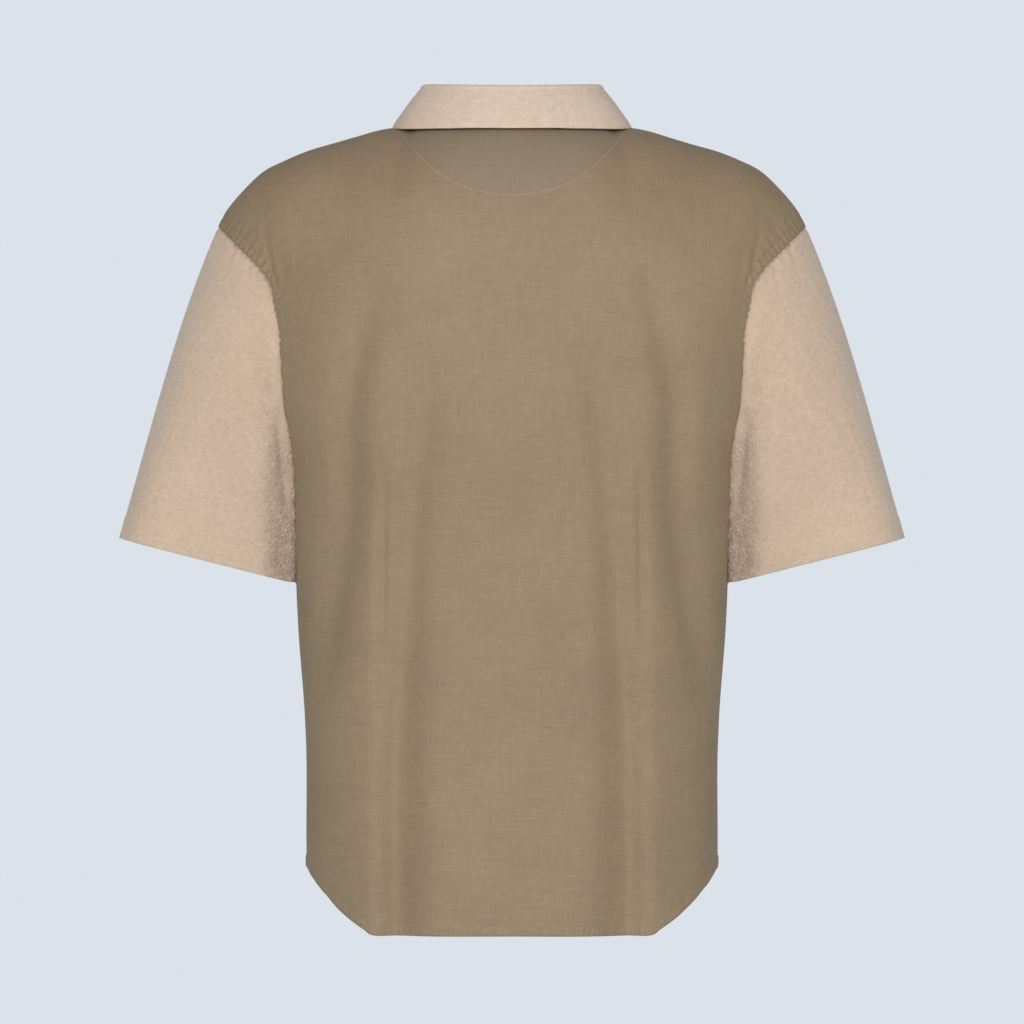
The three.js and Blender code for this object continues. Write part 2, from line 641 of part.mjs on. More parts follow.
// The neck edge joins the stand, and the stand's top joins the leaf.
const neckEdge = (sheet, c) => sheet.step(topRow, c, topRow - 1, c);
const standBase = (c) => standSheet.step(0, c, 1, c);
const backNeck = Array.from({ length: 2 * quarter + 1 }, (_, i) => i);
sew(
  backNeck.map((i) => neckEdge(backSheet, halfCount - quarter + i)),
  backNeck.map((i) => standBase(quarter + i)),
);
const frontNeck = Array.from({ length: quarter + 1 }, (_, i) => i);
sew(frontNeck.map((i) => neckEdge(frontSheet, halfCount - i)), frontNeck.map(standBase));
sew(
  frontNeck.map((i) => neckEdge(frontSheet, halfCount + quarter - i)),
  frontNeck.map((i) => standBase(3 * quarter + i)),
);
for (const [panelColumn, standColumn] of [
  [neckPointColumns[0], quarter],
  [neckPointColumns[1], 3 * quarter],
]) {
  squareUp(neckEdge(backSheet, panelColumn), neckEdge(frontSheet, panelColumn), standBase(standColumn));
}
const collarSteps = Array.from({ length: collarColumns + 1 }, (_, c) => c);
sew(
  collarSteps.map((c) => standSheet.step(2, c, 1, c)),
  collarSteps.map((c) => leafSheet.step(0, c, 1, c)),
);

// ---------------------------------------------------------------------------- pieces that lie on a panel
// The half-moon facing lies inside the back, from the neck seam to a shallow arc.
const facingSheet = backSheet.patch(FACING_GRID.rows, FACING_GRID.columns, (r, c) => {
  const column = halfCount - FACING_GRID.columns / 2 + c;
  const across = Math.min(1, backSheet.points[topRow][column].x / FACING.half) ** 2;
  const deep = FACING.deepRows * (1 - across + FACING.tip);
  return [topRow - FACING.topGap - deep * (1 - r / FACING_GRID.rows), column];
});

// A placket strip follows the middle of the front, from just below the neck seam past the slit's end.
const stripX = [-PLACKET.half, -PLACKET.slitHalf, 0, PLACKET.slitHalf, PLACKET.half];
const stripBottom = topRow - PLACKET.slitRows - 1;
const stripSheet = frontSheet.patch(PLACKET.slitRows + 1, stripX.length - 1, (r, c) => {
  const row = Math.min(topRow - PLACKET.topGap, stripBottom + r);
  const x = Math.abs(stripX[c]);
  const outer = frontSheet.points[Math.round(row)][halfCount + 2].x;
  const past = (x - PLACKET.slitHalf) / (outer - PLACKET.slitHalf);
  const beside = x <= PLACKET.slitHalf ? x / PLACKET.slitHalf : 1 + past;
  return [row, halfCount + Math.sign(stripX[c]) * beside];
});
const stripLift = CLOTH / 2 + CLEAR + PLACKET.cloth / 2;

function inSlit(r, c) {
  return r >= topRow - PLACKET.slitRows && (c === halfCount - 1 || c === halfCount);
}

// The height of the front's centre line gives each button its place.
function centreFrontV(z) {
  let low = BLADE_V;
  let high = 1;
  for (let i = 0; i < 40; i += 1) {
    const middle = (low + high) / 2;
    if (panelPoint(-1, 0, middle).z < z) low = middle;
    else high = middle;
  }
  return low;
}

function buttonGeometry() {
  const { radius, height, rim, dish, edge } = BUTTON;
  const profile = [
    [0, 0],
    [radius - edge, 0],
    [radius, edge],
    [radius, height - edge],
    [radius - edge, height],
    [radius - rim, height],
    [radius - rim - dish, height - dish],
    [0, height - dish],
  ];
  return new THREE.LatheGeometry(profile.map(([r, h]) => new THREE.Vector2(r, h)), BUTTON_SIDES);
}

// ---------------------------------------------------------------------------- the shirt
addPiece('back', wallGeometry(backSheet, CLOTH), BODY_CLOTH);
addPiece('front', wallGeometry(frontSheet, CLOTH, { keep: (r, c) => !inSlit(r, c) }), BODY_CLOTH);
addPiece('sleeve_left', wallGeometry(sleeveLeft, CLOTH), TRIM_CLOTH);
addPiece('sleeve_right', wallGeometry(sleeveRight, CLOTH), TRIM_CLOTH);
addPiece('collar_stand', wallGeometry(standSheet, CLOTH), TRIM_CLOTH);
addPiece('collar_leaf', wallGeometry(leafSheet, CLOTH), TRIM_CLOTH);

const facingLift = -(CLOTH / 2 + FACING.clear + FACING.cloth / 2);
addPiece('neck_facing', wallGeometry(facingSheet, FACING.cloth, { lift: facingLift }), FACING_CLOTH);
addPiece('placket_upper', wallGeometry(stripSheet, PLACKET.cloth, { lift: stripLift }), BODY_CLOTH);
addPiece('placket_under', wallGeometry(stripSheet, PLACKET.cloth, { lift: -stripLift }), BODY_CLOTH);

const buttonLift = stripLift + PLACKET.cloth / 2 + CLEAR + BUTTON.shank;
const neckFrontZ = NECK.sideZ - NECK.frontDrop;
for (let i = 0; i < BUTTON_PLACES.count; i += 1) {
  const v = centreFrontV(neckFrontZ - BUTTON_PLACES.firstDrop - i * BUTTON_PLACES.spacing);
  const step = 0.01;
  const at = panelPoint(-1, 0, v);
  const upward = panelPoint(-1, 0, v + step).sub(panelPoint(-1, 0, v - step));
  const outward = point(1, 0, 0).cross(upward).normalize();
  const button = addPiece(`button_${i + 1}`, buttonGeometry(), BUTTON_PLASTIC);
  button.position.copy(at.addScaledVector(outward, buttonLift));
  button.quaternion.setFromUnitVectors(point(0, 1, 0), outward);
}

export default shirt;
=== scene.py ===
# %% [markdown]
# # A golf shirt in two cloths
#
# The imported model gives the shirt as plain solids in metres. This lesson dresses it: each solid is
# replaced by a thin shell of cloth with its creases, seams and stitches, and by its weave. The solids
# stay in the file, hidden, for collision.

import math

import bpy
import numpy as np
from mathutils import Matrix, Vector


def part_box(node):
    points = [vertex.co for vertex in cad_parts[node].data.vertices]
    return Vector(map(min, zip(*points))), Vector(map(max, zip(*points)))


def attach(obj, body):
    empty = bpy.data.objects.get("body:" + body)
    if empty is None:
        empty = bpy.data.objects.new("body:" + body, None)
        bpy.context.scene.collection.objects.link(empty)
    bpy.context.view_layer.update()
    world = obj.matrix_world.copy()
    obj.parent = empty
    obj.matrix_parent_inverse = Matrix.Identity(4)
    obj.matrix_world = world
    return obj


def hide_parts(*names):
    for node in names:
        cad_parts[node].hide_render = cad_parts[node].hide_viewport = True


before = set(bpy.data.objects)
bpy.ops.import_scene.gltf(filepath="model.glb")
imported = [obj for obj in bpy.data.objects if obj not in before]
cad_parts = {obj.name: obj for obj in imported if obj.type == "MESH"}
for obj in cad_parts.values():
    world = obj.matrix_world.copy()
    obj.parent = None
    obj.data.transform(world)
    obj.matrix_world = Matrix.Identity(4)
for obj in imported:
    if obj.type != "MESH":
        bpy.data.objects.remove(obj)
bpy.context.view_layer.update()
MM = 0.001

# %% [markdown]
# ## The camera
#
# The shirt is seen straight from behind, from far enough away that it hardly shows perspective. A long
# lens does that. The lens follows from the width of the view at the shirt and the distance to it.

# %% Place the camera
CAMERA_DISTANCE = 4.0
VIEW_WIDTH = 0.9216
VIEW_MIDDLE_Z = -0.3456

lens = bpy.data.cameras.new("camera")
lens.sensor_width = 36
lens.lens = lens.sensor_width * CAMERA_DISTANCE / VIEW_WIDTH
camera = bpy.data.objects.new("camera", lens)
camera.location = (0, CAMERA_DISTANCE, VIEW_MIDDLE_Z)
camera.rotation_euler = (math.radians(90), 0, math.radians(180))
bpy.context.scene.collection.objects.link(camera)
bpy.context.scene.camera = camera
print("lens in mm:", round(lens.lens, 1))

# %% [markdown]
# ## Reading the cut
#
# A tailor keeps a garment as a short table of girths and depths, and draws smooth curves between them.
# The same works here: each table below has a few rows, and `smooth_through` draws the curve. All of
# these lengths are in millimetres, and become metres when a mesh is made.

# %% Smooth curves through short tables
def smooth_through(keys, values, at):
    """Values at some keys, on a smooth curve through the rows of a table."""
    keys, values, at = (np.asarray(a, float) for a in (keys, values, at))
    order = np.argsort(keys)
    keys, values = keys[order], values[order]
    count = len(keys)
    below = np.clip(np.arange(count) - 1, 0, count - 1)
    above = np.clip(np.arange(count) + 1, 0, count - 1)
    slope = (values[above] - values[below]) / (keys[above] - keys[below])
    i = np.clip(np.searchsorted(keys, at) - 1, 0, count - 2)
    span = keys[i + 1] - keys[i]
    t = np.clip((at - keys[i]) / span, 0, 1)
    t2, t3 = t**2, t**3
    ends = values[i] * (2 * t3 - 3 * t2 + 1) + values[i + 1] * (3 * t2 - 2 * t3)
    return ends + span * (slope[i] * (t3 - 2 * t2 + t) + slope[i + 1] * (t3 - t2))


def mix(a, b, t):
    return a + (b - a) * t


def smooth_step(low, high, at):
    t = np.clip((np.asarray(at, float) - low) / (high - low), 0, 1)
    return t * t * (3 - 2 * t)


def hill(at, middle, wide):
    """1 at the middle, falling smoothly to 0 on both sides."""
    return np.exp(-(((at - middle) / wide) ** 2))


def unit(vectors):
    return vectors / np.maximum(np.linalg.norm(vectors, axis=-1, keepdims=True), 1e-12)


def stack(x, y, z):
    return np.stack(np.broadcast_arrays(x, y, z), axis=-1).astype(float)


def bezier(a, b, c, d, t):
    t = np.asarray(t, float)[..., None]
    s = 1 - t
    return s**3 * a + 3 * s * s * t * b + 3 * s * t * t * c + t**3 * d


# %% Tables of the torso
UNDERARM_Z, BLADE_Z = -316, -200
UNDERARM_V, BLADE_V = 0.5, 0.68
SQUARENESS = 2.4
SEAM_INSET = 0.75

LEVEL_Z = [-716, -640, -550, -450, -364, -316, -295, -245, -200]
HALF_WIDTH = [185, 185.2, 185.6, 192.6, 196, 198.4, 202, 218, 227]
BACK_DEPTH = [122, 118, 115, 114, 117, 121, 122, 124.4, 125]
FRONT_DEPTH = [123, 121, 121, 123, 127, 130, 131, 132, 131]

HEM_Z, FRONT_HEM_LIFT = -716, 12
HEM_SHARE = [0, 0.2, 0.39, 0.43, 0.455, 0.52, 0.62, 0.7, 0.85, 1]
HEM_LIFT = [0, -0.6, -1.6, -0.4, 3.6, 11.4, 24.5, 35, 49.5, 57]

SHOULDER_X = [80, 107, 120, 140, 165, 183, 205, 224, 243, 257, 264]
SHOULDER_Z = [0.5, -0.9, -3.2, -8.8, -15.7, -20.8, -29.6, -39.2, -57, -74.5, -89]

CROWN_SHARE = [0, 0.2, 0.4, 0.6, 0.85, 1]
BACK_CROWN = {
    "x": [0, 59, 106, 155, 214, 246],
    "out": [106, 103, 92, 76, 63, 50],
    "z": [-12, -8, -5, -16, -48, -106],
    "rise": [80, 86, 94, 82, 62, 54],
}
FRONT_CROWN = {
    "x": [0, 60, 106, 155, 214, 246],
    "out": [96, 90, 80, 70, 63, 50],
    "z": [-92, -60, -30, -26, -48, -106],
    "rise": [44, 58, 72, 76, 62, 54],
}

NECK = {"side": 80, "back": 64, "front": 80, "side_z": 0.5, "back_drop": 3.5, "front_drop": 72}
NECK_SHARE = 0.4
BACK, FRONT = 1, -1

# %% [markdown]
# ## The form of the two panels
#
# A shirt that is filled out has a rounded, slightly squared section. A superellipse draws it with one
# exponent. Over the shoulder blades each column of the panel leaves the blades upright, and arrives at
# the neck or the shoulder seam along a Bezier curve. Numpy works on all points of the grid at once.

# %% Points of a panel
def torso_point(face, u, z):
    depth = smooth_through(LEVEL_Z, BACK_DEPTH if face == BACK else FRONT_DEPTH, z)
    half = smooth_through(LEVEL_Z, HALF_WIDTH, z) - SEAM_INSET
    height = (z - UNDERARM_Z) / (BLADE_Z - UNDERARM_Z)
    edge = np.minimum(half, mix(197.6, 204.4, height))
    reach = np.where(height > 0, np.arcsin((edge / half) ** (SQUARENESS / 2)), math.pi / 2)
    angle = np.minimum(1, np.abs(u)) * reach
    x = half * np.sin(angle) ** (2 / SQUARENESS)
    y = depth * np.maximum(0, np.cos(angle)) ** (2 / SQUARENESS)
    return stack(np.sign(u) * x, face * y, z)


def hem_level(face, u):
    share = np.abs(u)
    shorter = 0 if face == BACK else FRONT_HEM_LIFT * (1 - smooth_step(0, 1, share))
    return HEM_Z + shorter + smooth_through(HEM_SHARE, HEM_LIFT, share)


def neck_point(face, turn):
    sine, cosine = np.sin(turn * math.pi / 2), np.maximum(0, np.cos(turn * math.pi / 2))
    drop = NECK["back_drop"] * cosine**1.5 if face == BACK else NECK["front_drop"] * cosine**1.4
    reach = NECK["back"] if face == BACK else -NECK["front"]
    return stack(NECK["side"] * sine, reach * cosine, NECK["side_z"] - drop)


def top_edge(face, u):
    along = np.abs(u)
    on_neck = neck_point(face, np.minimum(1, along / NECK_SHARE))
    x = mix(80, 264, np.clip((along - NECK_SHARE) / (1 - NECK_SHARE), 0, 1) ** 0.92)
    on_shoulder = stack(x, 0 * x, smooth_through(SHOULDER_X, SHOULDER_Z, x))
    top = np.where((along <= NECK_SHARE)[..., None], on_neck, on_shoulder)
    top[..., 0] *= np.where(u < 0, -1, 1)
    return top


def panel_point(face, u, v):
    """A point of the back or the front: u from the centre to the side, v from the hem to the top."""
    u, v = np.broadcast_arrays(np.asarray(u, float), np.asarray(v, float))
    low = hem_level(face, u)
    skirt_z = mix(low, UNDERARM_Z, v / UNDERARM_V)
    turn = np.clip((v - UNDERARM_V) / (BLADE_V - UNDERARM_V), 0, 1) * math.pi / 2
    scye_z = mix(BLADE_Z, UNDERARM_Z, np.cos(turn))
    torso = torso_point(face, u, np.where(v <= UNDERARM_V, skirt_z, scye_z))
    crown = BACK_CROWN if face == BACK else FRONT_CROWN
    share = np.abs(u)
    read = {name: smooth_through(CROWN_SHARE, values, share) for name, values in crown.items()}
    start = torso_point(face, u, np.full(u.shape, float(BLADE_Z)))
    start_handle = start + stack(0 * share, 0 * share, read["rise"])
    end_handle = stack(np.where(u < 0, -1, 1) * read["x"], face * read["out"], read["z"])
    rise = np.clip((v - BLADE_V) / (1 - BLADE_V), 0, 1)
    crowned = bezier(start, start_handle, end_handle, top_edge(face, u), rise)
    return np.where((v <= BLADE_V)[..., None], torso, crowned)


def share_at_x(face, x, v):
    """How far out on the panel its cloth stands x from the centre line."""
    low, high = np.zeros_like(v), np.ones_like(v)
    for _ in range(40):
        middle = (low + high) / 2
        short = panel_point(face, middle, v)[..., 0] < x
        low, high = np.where(short, middle, low), np.where(short, high, middle)
    return low


print("back of the neck at", panel_point(BACK, 0.0, 1.0).round(1))

# %% [markdown]
# ## Grids of cloth
#
# A piece starts as a grid of points on the middle of the cloth. The rows stand closer at the hem, and
# the columns at the side, because the sewing there needs finer detail than the plain field.

# %% Grid tools
def side_vectors(grid, closed=False):
    """Steps along the rows and up the columns, at each point of a grid."""
    if closed:
        across = np.roll(grid, -1, axis=1) - np.roll(grid, 1, axis=1)
    else:
        padded = np.pad(grid, ((0, 0), (1, 1), (0, 0)), mode="edge")
        across = padded[:, 2:] - padded[:, :-2]
    padded = np.pad(grid, ((1, 1), (0, 0), (0, 0)), mode="edge")
    return across, padded[2:] - padded[:-2]


def wrap(grid):
    """A ring of columns, closed by its first one once more."""
    return np.concatenate([grid, grid[:, :1]], axis=1)


def outward(grid, inward=False, closed=False):
    across, along = side_vectors(grid, closed)
    normals = unit(np.cross(across, along))
    return -normals if inward else normals


def lengths_along(grid, axis):
    """Length of cloth from the grid's first row or column."""
    steps = np.linalg.norm(np.diff(grid, axis=axis), axis=-1)
    start = np.zeros_like(np.take(steps, [0], axis=axis))
    return np.cumsum(np.concatenate([start, steps], axis=axis), axis=axis)


def sample(grid, r, c):
    """Values of a grid at rows and columns with fractions."""
    r, c = np.clip(r, 0, grid.shape[0] - 1.001), np.clip(c, 0, grid.shape[1] - 1.001)
    r0, c0 = r.astype(int), c.astype(int)
    fr, fc = r - r0, c - c0
    if grid.ndim == 3:
        fr, fc = fr[..., None], fc[..., None]
    low = mix(grid[r0, c0], grid[r0, c0 + 1], fc)
    return mix(low, mix(grid[r0 + 1, c0], grid[r0 + 1, c0 + 1], fc), fr)


def row_where(lengths, distance, columns):
    """The rows, with fractions, where a grid of lengths reaches a distance."""
    sign = 1 if lengths[-1, 0] > lengths[0, 0] else -1
    rows = np.arange(len(lengths))
    return np.array([np.interp(sign * distance, sign * lengths[:, c], rows) for c in columns])


def centred_uv(grid):
    """A grid's cloth lengths across, from its middle column, and along."""
    across = lengths_along(grid, 1)
    return np.stack([across - across[:, [grid.shape[1] // 2]], lengths_along(grid, 0)], axis=-1)


def width_across(grid, height):
    """Length along the rows, leaving out what a row climbs or drops on the cloth."""
    steps = np.linalg.norm(np.diff(grid, axis=1), axis=-1)
    flat = np.sqrt(np.maximum(steps**2 - np.diff(height, axis=1) ** 2, 0.02 * steps**2))
    return np.cumsum(np.concatenate([0 * flat[:, :1], flat], axis=1), axis=1)


rng = np.random.default_rng(7)
LATTICE = rng.uniform(-1, 1, (64, 64))


def drift(x, y):
    """Slow, smooth random values between about -1 and 1, one for each whole step of x and y."""
    x0, y0 = np.floor(x).astype(int), np.floor(y).astype(int)
    fx, fy = smooth_step(0, 1, x - x0), smooth_step(0, 1, y - y0)
    at = lambda i, j: LATTICE[(x0 + i) % 64, (y0 + j) % 64]
    return mix(mix(at(0, 0), at(1, 0), fx), mix(at(0, 1), at(1, 1), fx), fy)


# %% [markdown]
# ## Folds and creases
#
# Cloth hangs in a few long folds, and creases where it is pulled. A cloth simulation could find them,
# but it would find others each time, and the shirt's main folds are known. So they are listed:
# a table runs down each fold with its place, its depth and how steep each of its sides is, and both
# halves of a panel have it.

# %% Hanging folds
BACK_FOLDS = [
    {
        "z": [-110, -160, -205, -250, -335, -400, -466, -540],
        "x": [120, 126, 137, 145, 147, 156, 167, 178],
        "deep": [0, 3, 5.5, 7.5, 8, 8.5, 7, 0],
        "inner": [20, 17, 16, 16, 17, 18, 18, 18],
        "outer": [22, 20, 16, 15, 17, 18, 18, 18],
    },
    {
        "z": [-200, -250, -335, -422, -510, -600, -716],
        "x": [73, 75, 88, 94, 102, 105, 105],
        "deep": [0, 4, 6.5, 8.5, 11, 12.5, 13],
        "inner": [15, 15, 17, 19, 23, 26, 27],
        "outer": [18, 18, 14, 13, 11, 11, 11],
    },
    {
        "z": [-290, -350, -420, -480, -550],
        "x": [111, 113, 114, 115, 116],
        "deep": [0, 2.6, 3.4, 2.6, 0],
        "inner": [4, 4, 4, 4, 4],
        "outer": [5, 5, 5, 5, 5],
    },
]
FRONT_FOLDS = [
    {
        "z": [-170, -280, -420, -560],
        "x": [128, 134, 148, 166],
        "deep": [0, 5, 6, 0],
        "inner": [20, 22, 22, 20],
        "outer": [20, 22, 22, 20],
    },
    {
        "z": [-300, -430, -580, -716],
        "x": [84, 79, 74, 70],
        "deep": [0, 4, 6, 8],
        "inner": [18, 20, 24, 26],
        "outer": [18, 15, 12, 12],
    },
]


def fold_depth(folds, points, u):
    x, z = np.abs(points[..., 0]), points[..., 2]
    deep = np.zeros(z.shape)
    for fold in folds:
        top, bottom = max(fold["z"]), min(fold["z"])
        read = {name: smooth_through(fold["z"], fold[name], z) for name in ("x", "deep", "inner", "outer")}
        off = (x - read["x"]) / np.where(x < read["x"], read["inner"], read["outer"])
        within = (z <= top) & (z >= bottom - 60)
        deep += np.where(within, read["deep"] * np.exp(-(off**2)), 0)
    return deep * (1 - np.abs(u) ** 10)


# %% Creases along a short path
def crease(x, y, path, wide):
    """1 on the path and 0 past its width. The path's rows are x, y and strength."""
    best = np.zeros(np.shape(x))
    for (x0, y0, s0), (x1, y1, s1) in zip(path[:-1], path[1:]):
        dx, dy = x1 - x0, y1 - y0
        t = np.clip(((x - x0) * dx + (y - y0) * dy) / (dx * dx + dy * dy), 0, 1)
        off2 = (x - x0 - t * dx) ** 2 + (y - y0 - t * dy) ** 2
        best = np.maximum(best, mix(s0, s1, t) * np.exp(-off2 / wide**2))
    return best


# %% [markdown]
# ## The panels as cloth
#
# The seams pull the cloth in a little along their line, and lift a soft roll beside it. Where the
# armhole's seam allowance is stitched down, the cloth is doubled and puckers across the stitching.

# %% Build the two panels
ROWS_V = np.concatenate([
    np.linspace(0, 0.012, 7)[:-1],
    np.linspace(0.012, UNDERARM_V, 126)[:-1],
    np.linspace(UNDERARM_V, BLADE_V, 38)[:-1],
    np.linspace(BLADE_V, 1, 76),
])
HALF_U = np.concatenate([np.linspace(0, 0.96, 80)[:-1], np.linspace(0.96, 1, 10)])
COLUMNS_U = np.concatenate([-HALF_U[:0:-1], HALF_U])
UNDERARM_ROW = int(np.argmin(abs(ROWS_V - UNDERARM_V)))
HALF_COUNT = len(HALF_U) - 1
SLIT_COLUMNS, SLIT_HALF, SLIT_V = 3, 9, mix(BLADE_V, 1, 2 / 9)
ARMHOLE_BAND, HEM_BAND, PUCKER_PITCH = 9.0, 6.5, 6.9


def panel_shares(face):
    """Each point's share of the half width. On the front, some columns follow the slit's edges."""
    shares = np.tile(COLUMNS_U, (len(ROWS_V), 1))
    if face == FRONT:
        slit = share_at_x(FRONT, SLIT_HALF, ROWS_V)[:, None]
        plain = HALF_U[SLIT_COLUMNS]
        size = np.abs(COLUMNS_U)[None, :]
        warped = np.where(size <= plain, size / plain * slit, mix(slit, 1, (size - plain) / (1 - plain)))
        shares = np.sign(COLUMNS_U)[None, :] * warped
    return shares


def measure_panel(grid):
    """Cloth lengths of a panel: out from its centre line, up from the underarm, and to its edges."""
    along_row, up_column = lengths_along(grid, 1), lengths_along(grid, 0)
    width = width_across(grid, up_column - up_column[UNDERARM_ROW])
    side = np.minimum(along_row, along_row[:, -1:] - along_row)
    edge = lengths_along(grid[:, [-1]], 0)
    return {
        "across": width - width[:, [HALF_COUNT]],
        "up": up_column - up_column[UNDERARM_ROW],
        "to_side": side,
        "to_hem": up_column,
        "to_top": up_column[-1:] - up_column,
        "along_hem": (along_row - along_row[:, [HALF_COUNT]])[[0]] + 0 * side,
        "down_armhole": (edge[-1] - edge) + 0 * side,
    }


# How deep the seam turns in at the armhole's corner, how far down from the tip, and how wide.
SET_IN = [(4.4, 86, 24), (3.2, 100, 12)]
# The puckers' strength: its share of each hill, how far down from the tip, and how wide.
PUCKERED = [(0.45, 76, 34), (0.7, 20, 18)]


def set_in(down):
    """How far the seam turns in, at a length down the armhole: its corner is tighter than the solid's."""
    return sum(deep * hill(down, at, wide) for deep, at, wide in SET_IN)


def sewn_relief(cloth, above_underarm):
    """How far the sewing lifts or pulls in the cloth beside the seams, and its puckers at the armhole."""
    side, hem, top = cloth["to_side"], cloth["to_hem"], cloth["to_top"]
    down = cloth["down_armhole"]
    relief = -0.7 * hill(top, 0, 1.8) - 0.9 * (1 - above_underarm) * hill(side, 0, 1.6)
    band = above_underarm * (1 - smooth_step(ARMHOLE_BAND - 1, ARMHOLE_BAND + 2, side))
    turns = down / PUCKER_PITCH + 0.4 * drift(down / 24, 9.0 + side / 14)
    off = (turns % 1 - 0.5) * PUCKER_PITCH
    strength = 0.7 + sum(share * hill(down, at, wide) for share, at, wide in PUCKERED)
    strength = strength + 0.35 * drift(down / 9, 4.0 + side / 30)
    pucker = 0.5 - 1.6 * hill(off, 0, 1.5)
    relief += band * (0.5 + 0.8 * strength * pucker)
    relief -= above_underarm * 0.4 * hill(side, ARMHOLE_BAND, 1.3)
    spill = hill(side - ARMHOLE_BAND, 4, 6)
    relief += above_underarm * 0.45 * strength * np.cos(turns * 4 + 1) * spill
    relief += 0.3 * (1 - smooth_step(HEM_BAND, HEM_BAND + 1.5, hem))
    relief -= 0.3 * hill(hem, HEM_BAND, 1.2)
    waver = drift(cloth["along_hem"] / 9, hem / 30) + 0.6 * drift(cloth["along_hem"] / 4.5, 5 + hem / 12)
    relief += 0.3 * waver * hill(hem, 0, 14)
    scallop = hill(side, 0, 2.5) * 0.7 * strength * pucker - set_in(down) * hill(side, 0, 14)
    return relief, above_underarm * scallop


PULLED_CREASES = [
    ([(222, -70, 0.3), (218.5, -104, 0.8), (215, -124, 1.0), (213.5, -138, 0.5)], 2.0, 2.2),
    ([(230, -62, 0.0), (229, -84, 1.0), (233, -100, 0.0)], 5.0, 1.2),
    ([(206, -96, 0.0), (203, -128, 0.7), (199, -160, 0.0)], 3.5, 0.9),
    ([(216, -126, 0.3), (217.2, -131, 1.0), (218.4, -136, 0.6)], 1.3, 2.0),
    ([(212, -138, 0.2), (211.4, -143, 1.0), (211, -148, 0.3)], 1.3, 1.6),
]


def pulled_in(grid):
    """The creases that run down beside the armhole: how far they go in."""
    deep = np.zeros(grid.shape[:2])
    for path, wide, strength in PULLED_CREASES:
        deep += strength * crease(np.abs(grid[..., 0]), grid[..., 2], path, wide)
    return deep


def build_panel(face, folds):
    shares = panel_shares(face)
    grid = panel_point(face, shares, ROWS_V[:, None])
    grid -= fold_depth(folds, grid, shares)[..., None] * outward(grid, face == BACK)
    cloth = measure_panel(grid)
    above = smooth_step(2, 24, cloth["up"])
    normals = outward(grid, face == BACK)
    relief, scallop = sewn_relief(cloth, above)
    relief -= pulled_in(grid)
    sag = drift(cloth["across"] / 45 + 20, cloth["up"] / 90 + 11)
    relief += 0.5 * sag * smooth_step(0, 40, cloth["to_side"])
    out = unit(side_vectors(grid)[0]) * np.sign(COLUMNS_U)[None, :, None]
    grid += relief[..., None] * normals + scallop[..., None] * out
    return {"grid": grid, "shares": shares, "cloth": cloth, "face": face}


back = build_panel(BACK, BACK_FOLDS)
front = build_panel(FRONT, FRONT_FOLDS)
print("points of each panel:", back["grid"].shape[:2])

# %% [markdown]
# ## From a grid to a piece of cloth
#
# A grid becomes a single skin with a UV map in metres of cloth, so that a weave drawn on it has real
# threads. Solidify then gives it the cloth's thickness. Hems and bands are two layers thick, which a
# vertex group tells the modifier.

# %% Make a cloth piece
ROOT = "root"
CLOTH = 0.8
collection = bpy.context.scene.collection


def add_object(name, mesh):
    thing = bpy.data.objects.new(name, mesh)
    collection.objects.link(thing)
    return thing


def make_mesh(name, points, faces):
    """A mesh from points in mm."""
    mesh = bpy.data.meshes.new(name)
    mesh.from_pydata((np.asarray(points) * MM).tolist(), [], faces)
    return mesh


def applied(thing):
    """A new mesh of an object with its modifiers applied."""
    return bpy.data.meshes.new_from_object(thing.evaluated_get(bpy.context.evaluated_depsgraph_get()))


def cloth_piece(
    name, grid, uv, material, inward=False, closed=False, keep=None,
    thickness=CLOTH, thick=None, edge=None, marks=None,
):
    """A thin shell on a grid of points in mm. uv and edge are in mm of cloth; keep marks the cells of it."""
    rows, columns = grid.shape[0] - 1, uv.shape[1] - 1
    width = grid.shape[1]
    r, c = np.mgrid[0:rows, 0:columns]
    if keep is not None:
        r, c = r[keep], c[keep]
    r, c = r.ravel(), c.ravel()
    corners = [(r, c), (r, c + 1), (r + 1, c + 1), (r + 1, c)]
    if inward:
        corners.reverse()
    faces = np.stack([rr * width + cc % width for rr, cc in corners], axis=1)
    used, index = np.unique(faces, return_inverse=True)
    points = grid.reshape(-1, 3)[used]
    mesh = make_mesh(name, points, index.reshape(faces.shape).tolist())
    for title, lengths in (("cloth", uv), ("edge", edge)):
        if lengths is not None:
            at_corners = np.stack([lengths[rr, cc] for rr, cc in corners], axis=1)
            mesh.uv_layers.new(name=title).data.foreach_set("uv", at_corners.ravel() * MM)
    for title, values in (marks or {}).items():
        mesh.attributes.new(title, "FLOAT", "POINT").data.foreach_set("value", values.reshape(-1)[used])
    mesh.shade_smooth()
    mesh.materials.append(material)
    piece = add_object(name, mesh)
    solid = piece.modifiers.new("cloth thickness", "SOLIDIFY")
    solid.offset = 0
    solid.thickness = thickness * MM
    if thick is not None:
        group = piece.vertex_groups.new(name="double cloth")
        share = thick.reshape(-1)[used]
        for level in np.unique(np.round(share, 2)):
            group.add(np.flatnonzero(np.round(share, 2) == level).tolist(), float(level), "REPLACE")
        solid.thickness = 2 * thickness * MM
        solid.vertex_group = "double cloth"
        solid.thickness_vertex_group = 0.0
    print(name, "quads:", len(faces), "box mm:", np.ptp(points, axis=0).round().tolist())
    return piece


def declare(piece, node):
    """Puts the piece on the shirt's body, and hides the solid it stands for."""
    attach(piece, ROOT)
    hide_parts(node)


# %% [markdown]
# ## Weave, slubs and mottle as node groups
#
# Both cloths are woven, so one group draws the weave and each material sets its thread. Uneven yarn
# shows as slubs, long thin streaks along the threads, and a dyed cloth is never quite one colour. Each
# group puts out plain numbers: a height for the bump and a tone for the colour.

